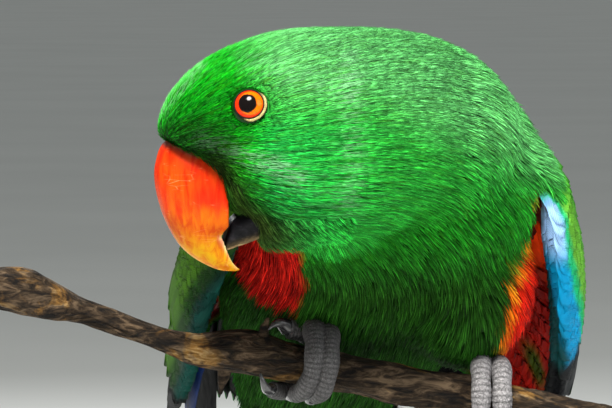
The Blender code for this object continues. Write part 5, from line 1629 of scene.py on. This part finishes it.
def make_coat(outer, look):
    """Small tufts on the head and longer ones down the body, under and over each other."""
    head_part = path_share(outer.centres) < HEAD_SHARE
    for name, node, wanted, barbs, steps, most, shades in (
            ("coat_head", "head", head_part, 6, 2, 3200, (0.37, 0.08, 0.12, (0.30, 0.85, 1.2))),
            ("coat_body", "torso", ~head_part, 9, 3, 1350, (0.42, 0.16, 0.18, (0.2, 0.8, 1.3)))):
        places, normals = outer.scatter(COAT_TRIES, wanted)
        share = path_share(places)
        gap = 0.74 + 1.42 * step_between(0.34, 0.62, share) + 0.4 * step_between(0.7, 0.95, share)
        back, side, dorsal = body_place(places).T
        bend = (back > -7.0) & (np.abs(side) > 34.0) & (dorsal < 2.0) & (dorsal > -16.0)
        bend &= (share > HEAD_SHARE) & ((side > 0.0) | (back < 22.0))
        allowed = np.flatnonzero(clear_of_eyes(places, 4.7) & ~bend)
        kept = allowed[thin_out(places[allowed], gap[allowed])]
        if name == "coat_body":
            kept = kept[~under_wings(places[kept], normals[kept])]
        kept = kept[np.argsort(share[kept])]
        for index, group in enumerate(np.array_split(kept, max(1, math.ceil(len(kept) / most)))):
            here, at = places[group], share[group]
            eye_gap = np.min([np.linalg.norm(here - head_point(*EYE_PLACE[:2], sign * EYE_PLACE[2]), axis=1)
                              for sign in (1.0, -1.0)], axis=0)
            length = 3.4 + 2.4 * step_between(0.08, 0.42, at) + 2.4 * step_between(0.42, 0.7, at)
            length = length * (0.40 + 0.60 * step_between(4.0, 14.0, eye_gap))
            length = length * random.uniform(0.85, 1.15, len(here))
            sizes = (length, 1.0 + gap[group] * 1.15, 0.26 + 0.16 * step_between(0.40, 0.7, at), coat_depth(at),
                     0.40 + 0.75 * step_between(0.3, 0.7, at))
            made = grow_tufts("%s_%d" % (name, index), outer, here, normals[group], sizes, barbs, steps, shades,
                              look)
            finish_piece(made, "feathers", node)


def make_fringe(outer, look):
    """Longer loose tufts round the gape and under the cheeks, ragged over the lower bill."""
    along, height, out = head_place(outer.centres).T
    gape = (near_line(along, height, (-8.0, -17.0), (-3.0, -23.0), 3.0) > 0.5)
    gape |= near_line(along, height, (-3.0, -23.0), (2.5, -31.0), 3.0) > 0.5
    cheek = (along >= 3.0) & (along < 26.0) & (height < -25.0) & (height > -38.0)
    places, normals = outer.scatter(3200, (gape | cheek) & (np.abs(out) < 24.0))
    kept = thin_out(places, np.full(len(places), 1.1))
    places, normals = places[kept], normals[kept]
    length = 4.0 + 2.5 * step_between(6.0, 0.0, head_place(places)[:, 0])
    length = length * random.uniform(0.7, 1.3, len(places))
    made = grow_tufts("coat_fringe", outer, places, normals, (length, 1.7, 0.26, 0.6, 0.5), 6, 3,
                      (0.55, 0.14, 0.18, (0.2, 0.75, 1.7)), look, 0.65)
    finish_piece(made, "feathers", "head")


def make_skin(body, down):
    """The skin, inside the coat's outer face by the coat's depth."""
    outer = Surface(body)
    inner = outer.points - outer.normals * coat_depth(path_share(outer.points))[:, None]
    body.data.vertices.foreach_set("co", to_frame(inner).astype(np.float32).ravel())
    body.data.update()
    paint(body, coat_colour(outer.points))
    set_material(body, down)
    finish_piece(body, "feathers", "head", "neck", "torso", "leg_left", "leg_right")


# Stage

def look_at(made, place, aim):
    """Puts a light or camera at a place, facing an aim."""
    made.location = place
    made.rotation_euler = (Vector(aim) - Vector(place)).to_track_quat("-Z", "Y").to_euler()
    bpy.context.scene.collection.objects.link(made)


def make_stage():
    """A wide pale floor, pale air and soft light from above left, right and behind."""
    mesh = bpy.data.meshes.new("studio_floor")
    corners = [(x * FLOOR_HALF, y * FLOOR_HALF, 0) for x, y in ((-1, -1), (1, -1), (1, 1), (-1, 1))]
    mesh.from_pydata(corners, [], [(0, 1, 2, 3)])
    mesh.materials.append(grained_material("studio_paper"))
    floor = bpy.data.objects.new("studio_floor", mesh)
    bpy.context.scene.collection.objects.link(floor)
    world = bpy.data.worlds.new("studio_air")
    world.use_nodes = True
    air = world.node_tree.nodes["Background"].inputs
    air["Color"].default_value = (0.86, 0.90, 0.88, 1.0)
    air["Strength"].default_value = 0.32
    bpy.context.scene.view_settings.view_transform = "Standard"
    bpy.context.scene.world = world
    for name, place, size, power, colour in LIGHTS:
        lamp = bpy.data.lights.new(name, "AREA")
        lamp.shape, lamp.size, lamp.energy, lamp.color = "DISK", size, power, colour
        made = bpy.data.objects.new(name, lamp)
        made.visible_camera = False
        look_at(made, place, LIGHT_AIM)
    view = bpy.data.cameras.new("camera")
    view.lens, view.sensor_width, view.clip_start, view.clip_end = CAMERA_LENS, 36.0, 0.05, 100.0
    camera = bpy.data.objects.new("camera", view)
    target = Vector(CAMERA_AIM)
    look_at(camera, target + Vector((0.0, -math.cos(CAMERA_RISE), math.sin(CAMERA_RISE))) * CAMERA_REACH, target)
    bpy.context.scene.camera = camera


def build():
    """Everything, in an order that keeps the random draws."""
    down, coat, vane = grained_material("down_skin"), grained_material("coat_feathers"), vane_material()
    scales = scaly_material("foot_skin", (0.10, 0.095, 0.10), (0.34, 0.33, 0.34), 900.0, 0.6, 0.4)
    lids = scaly_material("lid_skin", (0.7, 0.7, 0.7), (1.0, 1.0, 1.0), 1600.0, 0.5, 0.15)
    horn, eye = grained_material("claw_horn"), eye_material()
    make_stage()
    body = smooth_body()
    outer = coat_surface(body)
    make_coat(outer, coat)
    make_fringe(outer, coat)
    make_skin(body, down)
    for side in ("left", "right"):
        make_wing(side, vane, down)
        make_foot(side, scales, horn)
    make_tail(vane, down)
    make_bill()
    for side, label in ((1.0, "left"), (-1.0, "right")):
        make_eye(side, "eye_" + label, eye)
        make_lids(side, label, lids)
    make_perch(bark_material())
    make_stand()


build()
